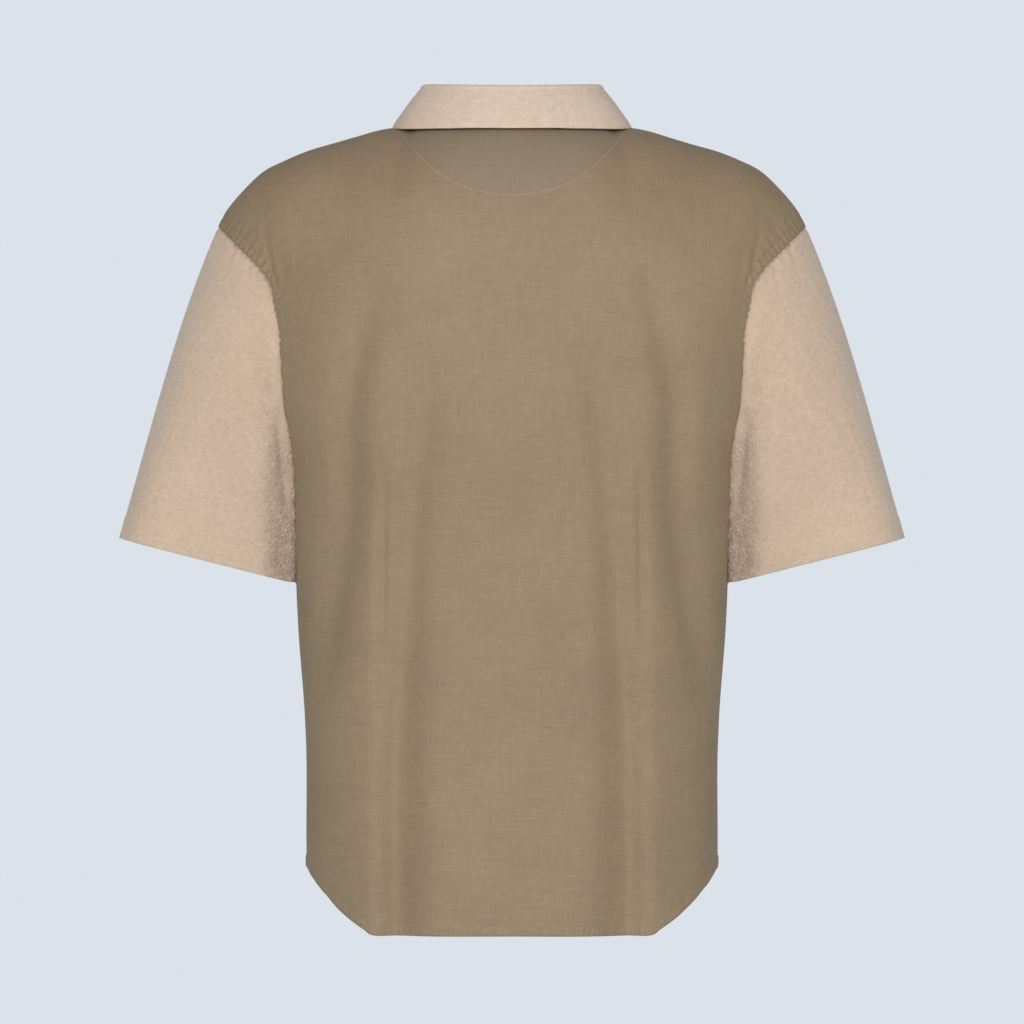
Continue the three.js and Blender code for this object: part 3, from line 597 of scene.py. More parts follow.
# %% Helpers for node trees
def set_inputs(tree, node, **links):
    """Sets a node's inputs by name or number: to a value, or to another node's output."""
    for key, value in links.items():
        numbered = key[0] == "i" and key[1:].isdigit()
        socket = node.inputs[int(key[1:]) if numbered else key.replace("_", " ")]
        if isinstance(value, bpy.types.NodeSocket):
            tree.links.new(value, socket)
        else:
            socket.default_value = value


def add_node(tree, kind, settings=None, **links):
    node = tree.nodes.new(kind)
    for key, value in (settings or {}).items():
        setattr(node, key, value)
    set_inputs(tree, node, **links)
    return node


def maths(tree, operation, a, b=None, c=None):
    """One Math node: a, b and c are numbers or outputs."""
    links = {f"i{k}": v for k, v in enumerate((a, b, c)) if v is not None}
    return add_node(tree, "ShaderNodeMath", {"operation": operation}, **links).outputs[0]


def times(tree, a, b):
    return maths(tree, "MULTIPLY", a, b)


def times_plus(tree, a, b, c):
    return maths(tree, "MULTIPLY_ADD", a, b, c)


def vectors(tree, operation, **links):
    return add_node(tree, "ShaderNodeVectorMath", {"operation": operation}, **links).outputs[0]


def noise_at(tree, vector, grain=(1, 1, 1), detail=2.0, roughness=0.5):
    """A noise whose grains have the given size along each direction, in metres."""
    scaled = vectors(tree, "MULTIPLY", i0=vector, i1=[1 / size for size in grain])
    noise = add_node(tree, "ShaderNodeTexNoise", Vector=scaled, Scale=1.0, Detail=detail, Roughness=roughness)
    return noise.outputs["Fac"]


def in_range(tree, value, low=0.0, high=1.0, first=0.0, last=1.0, smooth=False):
    """A value's run from low to high becomes a run from first to last."""
    settings = {"interpolation_type": "SMOOTHSTEP" if smooth else "LINEAR"}
    ends = {"From_Min": low, "From_Max": high, "To_Min": first, "To_Max": last}
    return add_node(tree, "ShaderNodeMapRange", settings, Value=value, **ends).outputs[0]


def two_tones(tree, share, first, second):
    """A blend of two, each of them a colour or an output."""
    a, b = (c if isinstance(c, bpy.types.NodeSocket) else (*c, 1) for c in (first, second))
    return add_node(tree, "ShaderNodeMix", {"data_type": "RGBA"}, i0=share, i6=a, i7=b).outputs[2]


def bump(tree, height, distance, strength=1.0, **links):
    """A surface raised by a height; over another one, where Normal is given."""
    links.update(Height=height, Strength=strength, Distance=distance)
    return add_node(tree, "ShaderNodeBump", **links).outputs[0]


def grouped(tree, group, **links):
    return add_node(tree, "ShaderNodeGroup", {"node_tree": group}, **links).outputs


def shader_group(name, vector, numbers, results):
    """A new group with a vector input and number inputs, and its own sockets to start and end at."""
    group = bpy.data.node_groups.new(name, "ShaderNodeTree")
    group.interface.new_socket(vector, in_out="INPUT", socket_type="NodeSocketVector")
    for title, value in numbers.items():
        group.interface.new_socket(title, in_out="INPUT", socket_type="NodeSocketFloat").default_value = value
    for title in results:
        group.interface.new_socket(title, in_out="OUTPUT", socket_type="NodeSocketFloat")
    return group, group.nodes.new("NodeGroupInput").outputs, group.nodes.new("NodeGroupOutput")


# %% The weave
weave, ports, out = shader_group(
    "plain weave", "Vector",
    {"Threads per metre": 2000.0, "Slub": 1.0, "Slub length": 30.0}, ["Height", "Tone"],
)
t = weave
threads = vectors(t, "SCALE", i0=ports["Vector"], Scale=ports["Threads per metre"])
across = add_node(t, "ShaderNodeSeparateXYZ", Vector=threads).outputs
warp, weft = (maths(t, "ABSOLUTE", maths(t, "SINE", times(t, across[k], math.pi))) for k in (0, 1))
warp_top, weft_top = (times(t, a, times_plus(t, b, 0.4, 0.6)) for a, b in ((warp, weft), (weft, warp)))
over = add_node(t, "ShaderNodeTexChecker", Vector=threads, Scale=1.0).outputs["Fac"]
profile = add_node(t, "ShaderNodeMix", {"data_type": "FLOAT"}, i0=over, i2=warp_top, i3=weft_top).outputs[0]
shorter = maths(t, "DIVIDE", 1.0, ports["Slub length"])
slubs = []
for x, y in ((shorter, 0.6), (0.6, shorter)):
    along = add_node(t, "ShaderNodeCombineXYZ", X=x, Y=y, Z=1.0).outputs[0]
    slubs.append(noise_at(t, vectors(t, "MULTIPLY", i0=threads, i1=along), detail=3.0))
slub = maths(t, "SUBTRACT", times_plus(t, slubs[0], 1.2, times(t, slubs[1], 0.8)), 1.0)
slub = times(t, slub, ports["Slub"])
tone = maths(t, "ADD", times_plus(t, profile, 0.35, 0.3), slub)
set_inputs(t, out, Height=times_plus(t, slub, 1.5, profile), Tone=tone)

# %% The mottle of the dye, and the puckers of a stitched edge
mottle, ports, out = shader_group("dye mottle", "Vector", {}, ["Tone"])
t = mottle
broad = noise_at(t, ports["Vector"], (0.09, 0.12, 0.09))
small = noise_at(t, ports["Vector"], (0.008, 0.006, 0.008), detail=3.0)
set_inputs(t, out, Tone=times_plus(t, broad, 0.6, times(t, small, 0.4)))

puckers, ports, out = shader_group(
    "stitched edge puckers", "Edge", {"Pitch": 0.0045, "Band": 0.0065}, ["Height"]
)
t = puckers
place = add_node(t, "ShaderNodeSeparateXYZ", Vector=ports["Edge"]).outputs
shift = times(t, noise_at(t, ports["Edge"], (0.011, 0.02, 1)), 2.2)
phase = maths(t, "ADD", maths(t, "DIVIDE", place[0], ports["Pitch"]), shift)
ridge = maths(t, "SINE", times(t, phase, 2 * math.pi))
strength = noise_at(t, ports["Edge"], (0.03, 0.05, 1))
past = maths(t, "DIVIDE", place[1], ports["Band"])
fade = in_range(t, past, 0.7, 2.0, 1.0, 0.0, smooth=True)
set_inputs(t, out, Height=times(t, times(t, ridge, strength), fade))

# %% Crushed cloth
crush, ports, out = shader_group(
    "crushed cloth", "Vector", {"Crushed": 0.0, "Size": 0.0052}, ["Height", "Shade"]
)
t = crush
grown = vectors(t, "SCALE", i0=ports["Vector"], Scale=maths(t, "DIVIDE", 1.0, ports["Size"]))
bent = add_node(t, "ShaderNodeTexNoise", Vector=grown, Scale=0.6, Detail=1.0).outputs["Color"]
bent = vectors(t, "MULTIPLY_ADD", i0=bent, i1=(1.2, 1.2, 0.0), i2=grown)
lumps = noise_at(t, bent, (0.8, 1.3, 1), detail=3.0, roughness=0.6)
valley = maths(t, "ABSOLUTE", times_plus(t, lumps, 2.0, -1.0))
ridge = maths(t, "MINIMUM", times(t, valley, 2.6), 1.0)
patchy = in_range(t, noise_at(t, grown, (2.2, 2.6, 1)), 0.42, 0.62, smooth=True)
# Painted shade: the hollows between the crushed ridges are darkened, in patches.
hollow = maths(t, "SUBTRACT", 1.0, ridge)
painted_hollow_shade = times(t, maths(t, "POWER", hollow, 2.0), times_plus(t, patchy, 0.8, 0.2))
set_inputs(t, out, Height=times(t, ridge, ports["Crushed"]), Shade=times(t, painted_hollow_shade, ports["Crushed"]))
print("groups:", [g.name for g in bpy.data.node_groups])

# %% [markdown]
# ## The cloths
#
# The body is a smooth, fine olive cloth with a slight lustre. Collar and sleeves are a paler cloth with
# a dry, linen-like face. The facing inside the neck is the body's cloth a shade darker. Inside the
# half-moon, where the facing backs it, the back's outer cloth is painted a little greyer: painted shade under
# the collar.

# %% Cloth materials
def linear(red, green, blue):
    """The shader's colour for an ordinary screen colour from 0 to 255."""
    return tuple(((c / 255 + 0.055) / 1.055) ** 2.4 for c in (red, green, blue))


def new_material(name):
    material = bpy.data.materials.new(name)
    material.use_nodes = True
    return material, material.node_tree, material.node_tree.nodes["Principled BSDF"]


COARSE_GRAIN = 3.1
TONE_RANGE = (0.25, 0.95)
NAP_HEIGHT, PUCKER_HEIGHT, CRUSH_HEIGHT = 0.0004, 0.00026, 0.0026
# Painted shade: inside the half-moon the back's cloth is blended towards this greyer tone, as the shade under
# the collar.
MOON_PAINTED_SHADE, MOON_PAINTED_SHARE = linear(132, 120, 108), 0.35
# Painted shade in the hollows of crushed sleeve cloth.
CRUSHED_SHADE, CRUSHED_SHARE = (0.45, 0.38, 0.3), 0.36


def cloth_material(
    name, dark, light, threads, slub, slub_length, roughness, lustre, nap,
    grain=1.0, fuzz=0.02, stitched_edge=False, crumpled=False,
):
    """A woven cloth of two tones: its threads in a metre, slubs, shine, nap and coarse grain."""
    material, tree, shader = new_material(name)
    uv = add_node(tree, "ShaderNodeUVMap", {"uv_map": "cloth"}).outputs[0]
    place = add_node(tree, "ShaderNodeTexCoord").outputs["Object"]
    yarn = {"Slub": slub, "Slub_length": slub_length}
    woven = grouped(tree, weave, Vector=uv, Threads_per_metre=threads, **yarn)
    coarse = grouped(tree, weave, Vector=uv, Threads_per_metre=threads / COARSE_GRAIN, **yarn)
    tone = times_plus(tree, woven["Tone"], 0.35, times(tree, coarse["Tone"], 0.3 * grain))
    tone = times_plus(tree, grouped(tree, mottle, Vector=place)["Tone"], 0.5, tone)
    colour = two_tones(tree, in_range(tree, tone, *TONE_RANGE), dark, light)
    below = {}
    if stitched_edge:
        # Painted shade under the collar: the back inside the half-moon is painted greyer.
        backed = add_node(tree, "ShaderNodeAttribute", {"attribute_name": "backed"}).outputs["Fac"]
        colour = two_tones(tree, times(tree, backed, MOON_PAINTED_SHARE), colour, MOON_PAINTED_SHADE)
        edge = add_node(tree, "ShaderNodeUVMap", {"uv_map": "edge"}).outputs[0]
        below["Normal"] = bump(tree, grouped(tree, puckers, Edge=edge)["Height"], PUCKER_HEIGHT)
    if crumpled:
        mark = add_node(tree, "ShaderNodeAttribute", {"attribute_name": "crushed"}).outputs["Fac"]
        creased = grouped(tree, crush, Vector=uv, Crushed=mark)
        # Painted shade: the crushed cloth's hollows are blended towards a darker tone.
        shadow = tuple(share * tint for share, tint in zip(CRUSHED_SHADE, dark))
        colour = two_tones(tree, times(tree, creased["Shade"], CRUSHED_SHARE), colour, shadow)
        below["Normal"] = bump(tree, creased["Height"], CRUSH_HEIGHT)
    relief = times_plus(tree, woven["Height"], 0.35, times(tree, coarse["Height"], 0.5 * grain))
    set_inputs(
        tree, shader, Base_Color=colour, Normal=bump(tree, relief, NAP_HEIGHT, nap, **below),
        Roughness=in_range(tree, tone, first=roughness + 0.05, last=roughness - 0.05),
        Specular_IOR_Level=lustre, Sheen_Weight=fuzz, Sheen_Roughness=0.5,
    )
    return material


body_cloth = cloth_material(
    "body cloth", linear(124, 106, 82), linear(158, 138, 110), 2400, 0.8, 30, 0.5, 0.35, 0.3,
    stitched_edge=True,
)
trim_cloth = cloth_material(
    "sleeve cloth", linear(177, 151, 127), linear(212, 189, 166), 1500, 1.0, 2.5, 0.75, 0.3, 0.5,
    grain=1.2, fuzz=0.55, crumpled=True,
)
# Painted light: the collar is the sleeve cloth in lighter tones, standing in for the light it catches.
collar_cloth = cloth_material(
    "collar cloth", linear(193, 170, 150), linear(227, 206, 187), 1500, 0.9, 4, 0.75, 0.3, 0.5,
    grain=1.3, fuzz=0.2,
)
facing_cloth = cloth_material(
    "facing cloth", linear(112, 98, 80), linear(146, 130, 110), 2400, 0.8, 30, 0.55, 0.4, 0.3
)
print("materials:", [m.name for m in (body_cloth, trim_cloth, collar_cloth, facing_cloth)])

# %% [markdown]
# ## Back and front

# %% The back and front pieces
MOON_HALF, MOON_DEEP, MOON_TOP_Z, MOON_ROUND = 99.0, 60.0, -8.0, 0.35


def moon_line(x):
    """Height of the half-moon's lower edge on the back."""
    out = (x / MOON_HALF) ** 2
    return MOON_TOP_Z - MOON_DEEP * (1 - out * mix(1, out, MOON_ROUND))


def hem_thickness(cloth):
    """Half of the full thickness in the field, and all of it where the hem is folded."""
    return 0.5 + 0.5 * (1 - smooth_step(HEM_BAND - 0.5, HEM_BAND + 0.7, cloth["to_hem"]))


def panel_piece(name, panel, keep=None):
    cloth = panel["cloth"]
    uv = np.stack([cloth["across"], cloth["up"]], axis=-1)
    edge = np.stack([cloth["along_hem"], cloth["to_hem"]], axis=-1)
    x, z = panel["grid"][..., 0], panel["grid"][..., 2]
    # inside marks the half-moon, where the back is painted greyer as painted shade under the collar.
    inside = smooth_step(-1, 1, z - moon_line(x)) * (np.abs(x) < MOON_HALF) * (panel["face"] == BACK)
    return cloth_piece(
        name, panel["grid"], uv, body_cloth, inward=panel["face"] == BACK, keep=keep,
        thick=hem_thickness(cloth), edge=edge, marks={"backed": inside},
    )


columns = np.arange(len(COLUMNS_U) - 1)
beside = (columns >= HALF_COUNT - SLIT_COLUMNS) & (columns < HALF_COUNT + SLIT_COLUMNS)
in_slit = beside[None, :] & (ROWS_V[:-1, None] >= SLIT_V - 0.003)
back_piece = panel_piece("back_cloth", back)
front_piece = panel_piece("front_cloth", front, keep=~in_slit)

# %% [markdown]
# ## Sleeves
#
# A sleeve is set into the armhole, so its first ring of points is the armhole edge of both panels. From
# there each column runs along a Bezier curve down to the cuff, which is tilted and rounded, and squarer
# on the side of the body.

# %% The form of a sleeve
CUFF = {"x": 276, "y": -33, "z": -389, "half_width": 82, "half_depth": 54, "slope": math.radians(14.2)}
CUFF_SQUARE_OUTER, CUFF_SQUARE_INNER = 0.04, 0.16
CUFF_HEM = 20
BODY_CLEARANCE = 0.5
CORNER_REACH, CORNER_END, DIP_START = 24, 36, 2
GATHER_FULL, GATHER_END = 3, 7
DRAWN_IN, GATHERED = 0.97, 0.9
FOLD_Z = [-415, -390, -360, -330, -300, -270, -240]
FOLD_LEVEL = [18.5, 22.7, 30.8, 40.2, 49.2, 57, 62.5]
CORNER_DIP = [1, 2, 5, 9, 10, 5, 0]
RUN_TURN = [-1, -0.5, -0.12, 0, 0.12, 0.5, 1]
RUN = {
    "start_x": [0.4, 0.55, -0.02, 0.24, 0.22, 0.55, 0.4],
    "start_y": [0, -0.05, -0.4, -0.4, -0.1, 0.05, 0],
    "end_x": [0.28, 0.2, 0.05, 0.05, 0.1, 0.2, 0.28],
    "end_y": [-0.02, -0.08, -0.2, -0.25, -0.2, -0.08, -0.02],
}
ALLOWANCE, ALLOWANCE_DEPTH = 3.0, 1.7
SLEEVE_ROWS = np.concatenate([
    np.linspace(0, 0.05, 8)[:-1],
    np.linspace(0.05, 0.97, 62)[:-1],
    np.linspace(0.97, 1, 5),
])
TIP_COLUMN = len(ROWS_V) - 1 - UNDERARM_ROW


def armhole_ring():
    """The armhole's edge from the underarm up the back to the tip, and down the front."""
    edge = {face: panel_point(face, 1.0, ROWS_V[UNDERARM_ROW:]) for face in (BACK, FRONT)}
    up_back, down_front = edge[BACK], edge[FRONT][::-1]
    share_up = lengths_along(up_back[None], 1)[0]
    share_down = lengths_along(down_front[None], 1)[0]
    shares = np.concatenate([share_up / share_up[-1], 1 - share_down[1:-1] / share_down[-1]])
    ring = np.concatenate([up_back, down_front[1:-1]])
    faces = np.concatenate([np.ones(len(up_back)), -np.ones(len(down_front) - 2)])
    return ring, shares, faces


def tucked_edge(ring, face):
    """The seam allowance: the sleeve's edge goes on a little way under the edge of the body."""
    v = np.concatenate([ROWS_V[UNDERARM_ROW:], ROWS_V[:UNDERARM_ROW:-1][1:]])
    inner = {f: panel_point(f, 0.98, v) for f in (BACK, FRONT)}
    lower = {f: panel_point(f, 1.0, v - 0.01) for f in (BACK, FRONT)}
    on_back = (face > 0)[:, None]
    to_body = unit(np.where(on_back, inner[BACK], inner[FRONT]) - ring)
    down_edge = np.where(on_back, lower[BACK], lower[FRONT]) - ring
    into = unit(np.cross(to_body, down_edge)) * face[:, None]
    return ring + ALLOWANCE * to_body + ALLOWANCE_DEPTH * into


def down_to(x, y):
    return stack(x, y, -np.sqrt(1 - x * x - y * y))


def sleeve_grid():
    start, share, face = armhole_ring()
    turn = face * math.pi * (1 - share)
    square = mix(CUFF_SQUARE_OUTER, CUFF_SQUARE_INNER, (1 - np.cos(turn)) / 2)
    reach_out = CUFF["half_width"] * (np.cos(turn) - square * np.cos(3 * turn)) / (1 - square)
    reach_back = CUFF["half_depth"] * (np.sin(turn) + square * np.sin(3 * turn)) / (1 - square)
    end = stack(
        CUFF["x"] + reach_out * math.cos(CUFF["slope"]),
        CUFF["y"] + reach_back,
        CUFF["z"] + reach_out * math.sin(CUFF["slope"]),
    )
    read = {name: smooth_through(RUN_TURN, values, face * share) for name, values in RUN.items()}
    reach = np.linalg.norm(end - start, axis=-1, keepdims=True)
    leave = down_to(read["start_x"], read["start_y"])
    arrive = down_to(read["end_x"], read["end_y"])
    rows = SLEEVE_ROWS[:, None]
    below = clear_of_body(bezier(start, start + 0.33 * reach * leave, end - 0.33 * reach * arrive, end, rows))
    tuck = tucked_edge(start, face)
    into_body = unit(tuck - start)
    down = lengths_along(below, 0)[..., None]
    round_edge = lengths_along(start[None], 1)[0]
    from_tip = np.abs(round_edge - round_edge[TIP_COLUMN])[:, None]
    below += set_in(from_tip) * into_body * hill(down, 0, 16)
    return np.concatenate([(tuck + set_in(from_tip) * into_body)[None], below])


def clear_of_body(points):
    """Where a sleeve lies against the body, its cloth follows the body's side and turns sharply off it.

    beyond is how far a point stands off the side, and short how far it lies below the corner's level.
    """
    x, y, z = np.moveaxis(points, -1, 0)
    depth = np.where(y > 0, smooth_through(LEVEL_Z, BACK_DEPTH, z), smooth_through(LEVEL_Z, FRONT_DEPTH, z))
    half = smooth_through(LEVEL_Z, HALF_WIDTH, z) - SEAM_INSET
    body = half * np.maximum(0, 1 - (np.abs(y) / depth) ** SQUARENESS) ** (1 / SQUARENESS)
    below = smooth_step(UNDERARM_Z + 2, UNDERARM_Z - 14, z)
    beyond = x - body - BODY_CLEARANCE
    at_back = smooth_step(-240, -275, z) * (np.arange(points.shape[1]) < TIP_COLUMN)
    dip = smooth_through(FOLD_Z, CORNER_DIP, z)
    y = y - at_back * dip * (1 - smooth_step(DIP_START, CORNER_END, beyond)) * smooth_step(-30, 0, y)
    short = smooth_through(FOLD_Z, FOLD_LEVEL, z) - dip - y
    nearest = np.minimum(beyond, short)
    near = at_back * (1 - smooth_step(CORNER_REACH, CORNER_END, beyond)) * (nearest < CORNER_REACH)
    meet = DRAWN_IN * np.clip(nearest, 0, CORNER_REACH)
    gather = GATHERED * (1 - smooth_step(GATHER_FULL, GATHER_END, np.abs(beyond - short)))
    x = x - near * (meet + gather * (beyond - meet)) + below * np.maximum(0, -beyond)
    return stack(x, y + near * (meet + gather * (short - meet)), z)


# %% [markdown]
# The sleeve cloth crumples where the arm would bend it against the body: from the underarm down to the
# inner side of the cuff. Small creases of every size lie there, and a few run off the armhole seam.

# %% Creases of a sleeve
def crumple(around, down, size, seed):
    """Sharp little ridges of about a size in mm, as in cloth that was crushed."""
    a = drift(around / size + seed, down / (1.5 * size) + 2 * seed)
    b = drift(around / (0.6 * size) + 3 * seed, down / size + seed + 0.7 * a)
    return 1 - 2 * np.abs(a) ** 0.7 + 0.5 * b


SLEEVE_AXIS = unit(np.array([-0.31, 0, 0.951]))
SEAM_CREASES = [
    ([(247, -105, 1.0), (249.5, -114, 1.0), (253, -125, 0.0)], 1.8, 3.2),
    ([(234, -126, 1.0), (233.5, -133, 0.8), (232.5, -141, 0.0)], 1.6, 3.2),
    ([(227.5, -131, 0.8), (226.5, -138, 0.6), (225.5, -149, 0.0)], 1.8, 2.4),
    ([(241, -114, 0.7), (243.5, -124, 0.0)], 1.7, 1.6),
    ([(256, -97, 0.6), (260, -110, 0.0)], 2.0, 1.4),
]


def dress_sleeve(grid):
    around = lengths_along(wrap(grid), 1)[:, :-1]
    down = lengths_along(grid, 0)
    down = down - down[1]
    to_cuff = down[-1:] - down
    normals = outward(grid, closed=True)
    shown = smooth_step(0.15, 0.6, np.abs(normals[..., 1]))
    beside_body = grid[..., 0] - grid[..., 0].min(axis=1, keepdims=True)
    inner = (1 - smooth_step(14, 40, beside_body)) * smooth_step(4, 40, down)
    low = smooth_step(40, 190, down)
    crumpled = 0.8 * crumple(around, down, 13, 3.0) + 0.5 * crumple(around, down, 7, 8.0)
    relief = shown * (0.4 + 1.0 * low) * inner * crumpled
    relief += shown * 0.22 * crumple(around, down, 30, 5.0) * smooth_step(15, 60, down)
    relief += shown * 0.28 * drift(around / 5, down / 45 + 3) * smooth_step(10, 50, down)
    for path, wide, strength in SEAM_CREASES:
        relief -= strength * crease(grid[..., 0], grid[..., 2], path, wide)
    relief -= 1.1 * hill(down, 0, 3.0)
    relief -= 0.25 * hill(to_cuff, CUFF_HEM, 1.3)
    relief += shown * 0.35 * drift(around / 14, to_cuff / 30) * hill(to_cuff, 0, 20)
    relief *= down >= 0
    crushed = (0.45 + 0.55 * low) * inner
    return grid + relief[..., None] * normals, {"to_cuff": to_cuff, "crushed": crushed}


shape = sleeve_grid()
sleeve, sleeve_cloth = dress_sleeve(shape)
mirror = np.array([-1, 1, 1])
closed_shape = wrap(shape)
up_sleeve = closed_shape @ SLEEVE_AXIS
width = width_across(closed_shape, up_sleeve)
sleeve_uv = np.stack([width - width[:, [TIP_COLUMN]], up_sleeve], axis=-1)
cuff_double = 0.5 + 0.5 * (1 - smooth_step(CUFF_HEM - 1, CUFF_HEM + 1, sleeve_cloth["to_cuff"]))
sleeve_pieces = {}
for side, flip in (("left", 1), ("right", -1)):
    points = sleeve if flip > 0 else sleeve * mirror
    sleeve_pieces[side] = cloth_piece(
        f"sleeve_{side}_cloth", points, sleeve_uv, trim_cloth, inward=flip < 0, closed=True,
        thick=cuff_double, marks={"crushed": sleeve_cloth["crushed"]},
    )

# %% [markdown]
# ## The collar
#
# The stand rises from the neck seam, and the leaf rolls over its top and falls outside. Both follow one
# turn round the neck, from the centre front at one side over the back to the other.

# %% The collar's form
STAND_TOP = {"side": 75.5, "back": 54, "front": 74, "side_z": 32.3, "back_drop": 5.2, "front_drop": 78}
LEAF = {"side": 107, "back": 80, "side_z": 1.2, "back_drop": 8, "stand_off": 2.9, "bulge": 1.0}
FOLD_RADIUS, FOLD_LIFT = 3.3, 2.2
LEAF_STITCH, LEAF_FOLD_ROWS = 5.5, 13
TURN = np.linspace(-math.pi, math.pi, 193)


def ring_edge(sizes, turn):
    cosine = np.cos(turn)
    at_back = cosine > 0
    size = np.abs(cosine)
    drop = np.where(at_back, sizes["back_drop"] * size**1.5, sizes["front_drop"] * size**1.4)
    reach = np.where(at_back, sizes["back"], sizes["front"])
    return stack(sizes["side"] * np.sin(turn), reach * cosine, sizes["side_z"] - drop)


def stand_point(turn, t):
    at = mix(ring_edge(NECK, turn), ring_edge(STAND_TOP, turn), t[..., None])
    at[..., 0] = np.where(turn < 0, -1, 1) * np.maximum(np.abs(at[..., 0]), 2)
    return at


def leaf_edge(turn):
    """The line on the shirt that the leaf's lower edge follows."""
    cosine = np.maximum(np.cos(turn), 0)
    back_z = LEAF["side_z"] - LEAF["back_drop"] * cosine**0.6
    at_back = stack(LEAF["side"] * np.sin(turn), LEAF["back"] * cosine, back_z)
    share = np.clip(np.abs(turn) / (math.pi / 2) - 1, 0, 1)
    side = share_at_x(FRONT, LEAF["side"], np.array([1.0]))[0]
    u = np.where(turn < 0, -1, 1) * mix(side, 0.25, share)
    v = mix(1, 0.86, share**0.85)
    across = panel_point(FRONT, u + 1e-3, v) - panel_point(FRONT, u - 1e-3, v)
    along = panel_point(FRONT, u, v) - panel_point(FRONT, u, v - 1e-3)
    at_front = panel_point(FRONT, u, v) + LEAF["stand_off"] * unit(np.cross(across, along))
    return np.where((np.cos(turn) >= 0)[..., None], at_back, at_front)


def leaf_grid():
    away = unit(stack(np.sin(TURN) / STAND_TOP["side"], np.cos(TURN) / STAND_TOP["back"], 0))
    seam = stand_point(TURN, np.ones_like(TURN))
    rows = [seam]
    for angle in np.linspace(math.pi, 0, LEAF_FOLD_ROWS):
        roll = FOLD_RADIUS * (1 + math.cos(angle)) * away
        rows.append(seam + roll + [0, 0, FOLD_LIFT + FOLD_RADIUS * math.sin(angle)])
    fold, edge = rows[-1], leaf_edge(TURN)
    for t in np.linspace(0, 1, 23)[1:]:
        rows.append(mix(fold, edge, t) + LEAF["bulge"] * 4 * t * (1 - t) * away)
    return np.array(rows)


# %% The collar's pieces
stand = stand_point(np.tile(TURN, (13, 1)), np.tile(np.linspace(0, 1, 13)[:, None], (1, len(TURN))))
leaf = leaf_grid()
leaf_down = lengths_along(leaf, 0)
leaf_edge_gap = leaf_down[-1:] - leaf_down
round_leaf = np.abs(TURN)[None, :] * 100
wave = 0.5 * drift(round_leaf / 28 + 4, leaf_down / 40) + 0.35 * drift(round_leaf / 9, 7 + leaf_down / 25)
wave = wave * smooth_step(12, 30, leaf_down) - 0.2 * hill(leaf_edge_gap, LEAF_STITCH, 1.0)
leaf = leaf + wave[..., None] * outward(leaf, inward=True)


stand_piece = cloth_piece("stand_cloth", stand, centred_uv(stand), collar_cloth, inward=True, thickness=1.2)
leaf_piece = cloth_piece("leaf_cloth", leaf, centred_uv(leaf), collar_cloth, inward=True, thickness=1.3)

# %% [markdown]
# ## The facing and the placket
#
# A half-moon of cloth backs the neck inside, and two strips finish the slit down the front: one outside
# with the buttons, one behind it. They lie on a panel, so their grids are read from the panel's own
# grid and moved off along its normals.

# %% Strips that lie on a panel
def lie_on(panel, r, c, off):
    """Points off a panel's cloth at rows and columns with fractions."""
    normals = outward(panel["grid"], panel["face"] == BACK)
    return sample(panel["grid"], r, c) + off * unit(sample(normals, r, c))


def read_row(grid, row, columns):
    return sample(grid, np.full(len(columns), row), columns)


def read_column(grid, rows, column):
    return sample(grid, rows, np.full(len(rows), column))


def find_on_panel(panel, x, z):
    """The row and column of a panel where its cloth stands at x and z."""
    grid = panel["grid"]
    columns = np.arange(grid.shape[1])
    tops = np.arange(UNDERARM_ROW, len(ROWS_V))
    r = np.full(np.shape(x), len(ROWS_V) * 0.8)
    for _ in range(12):
        c = np.array([np.interp(xx, read_row(grid, rr, columns)[:, 0], columns) for xx, rr in zip(x, r)])
        r = np.array([np.interp(zz, read_column(grid, tops, cc)[:, 2], tops) for zz, cc in zip(z, c)])
    return r, c


moon_x = np.linspace(-MOON_HALF, MOON_HALF, 81)
moon_z = moon_line(moon_x)
moon_r, moon_c = find_on_panel(back, moon_x, moon_z)

FACING_ROWS, FACING_DEPTH = 33, 1.75
facing_rows = mix(moon_r - 2.0, len(ROWS_V) - 3.5, np.linspace(0, 1, FACING_ROWS)[:, None])
facing = lie_on(back, facing_rows, np.tile(moon_c, (FACING_ROWS, 1)), -FACING_DEPTH)
facing_uv = centred_uv(facing)
facing_piece = cloth_piece("facing_cloth", facing, facing_uv, facing_cloth, inward=True, thickness=0.7)

# %% The placket's two strips
STRIP_HALF, STRIP_LIFT = 16.0, 1.85
STRIP_ROWS, STRIP_COLUMNS = 61, 17
strip_v = np.linspace(mix(BLADE_V, 1, 1.0 / 9), mix(BLADE_V, 1, 8.7 / 9), STRIP_ROWS)
strip_x = np.linspace(-STRIP_HALF, STRIP_HALF, STRIP_COLUMNS)
strip_r = np.tile(np.interp(strip_v, ROWS_V, np.arange(len(ROWS_V)))[:, None], (1, STRIP_COLUMNS))
front_columns = np.arange(front["grid"].shape[1])
strip_c = np.array([
    np.interp(strip_x, read_row(front["grid"], r, front_columns)[:, 0], front_columns)
    for r in strip_r[:, 0]
])
strips = {}
for name, off in (("upper", STRIP_LIFT), ("under", -STRIP_LIFT)):
    strip = lie_on(front, strip_r, strip_c, off)
    strip_uv = np.stack([np.tile(strip_x, (STRIP_ROWS, 1)), lengths_along(strip, 0)], axis=-1)
    piece = cloth_piece(f"placket_{name}_cloth", strip, strip_uv, body_cloth, thickness=1.0, edge=strip_uv)
    strips[name] = (strip, piece)

# %% [markdown]
# ## Buttons
#
# Each button is a small dished disc with four holes, turned on a lathe and drilled. A profile spun
# about an axis makes the disc, and four thin rods cut from it by a boolean make the holes.

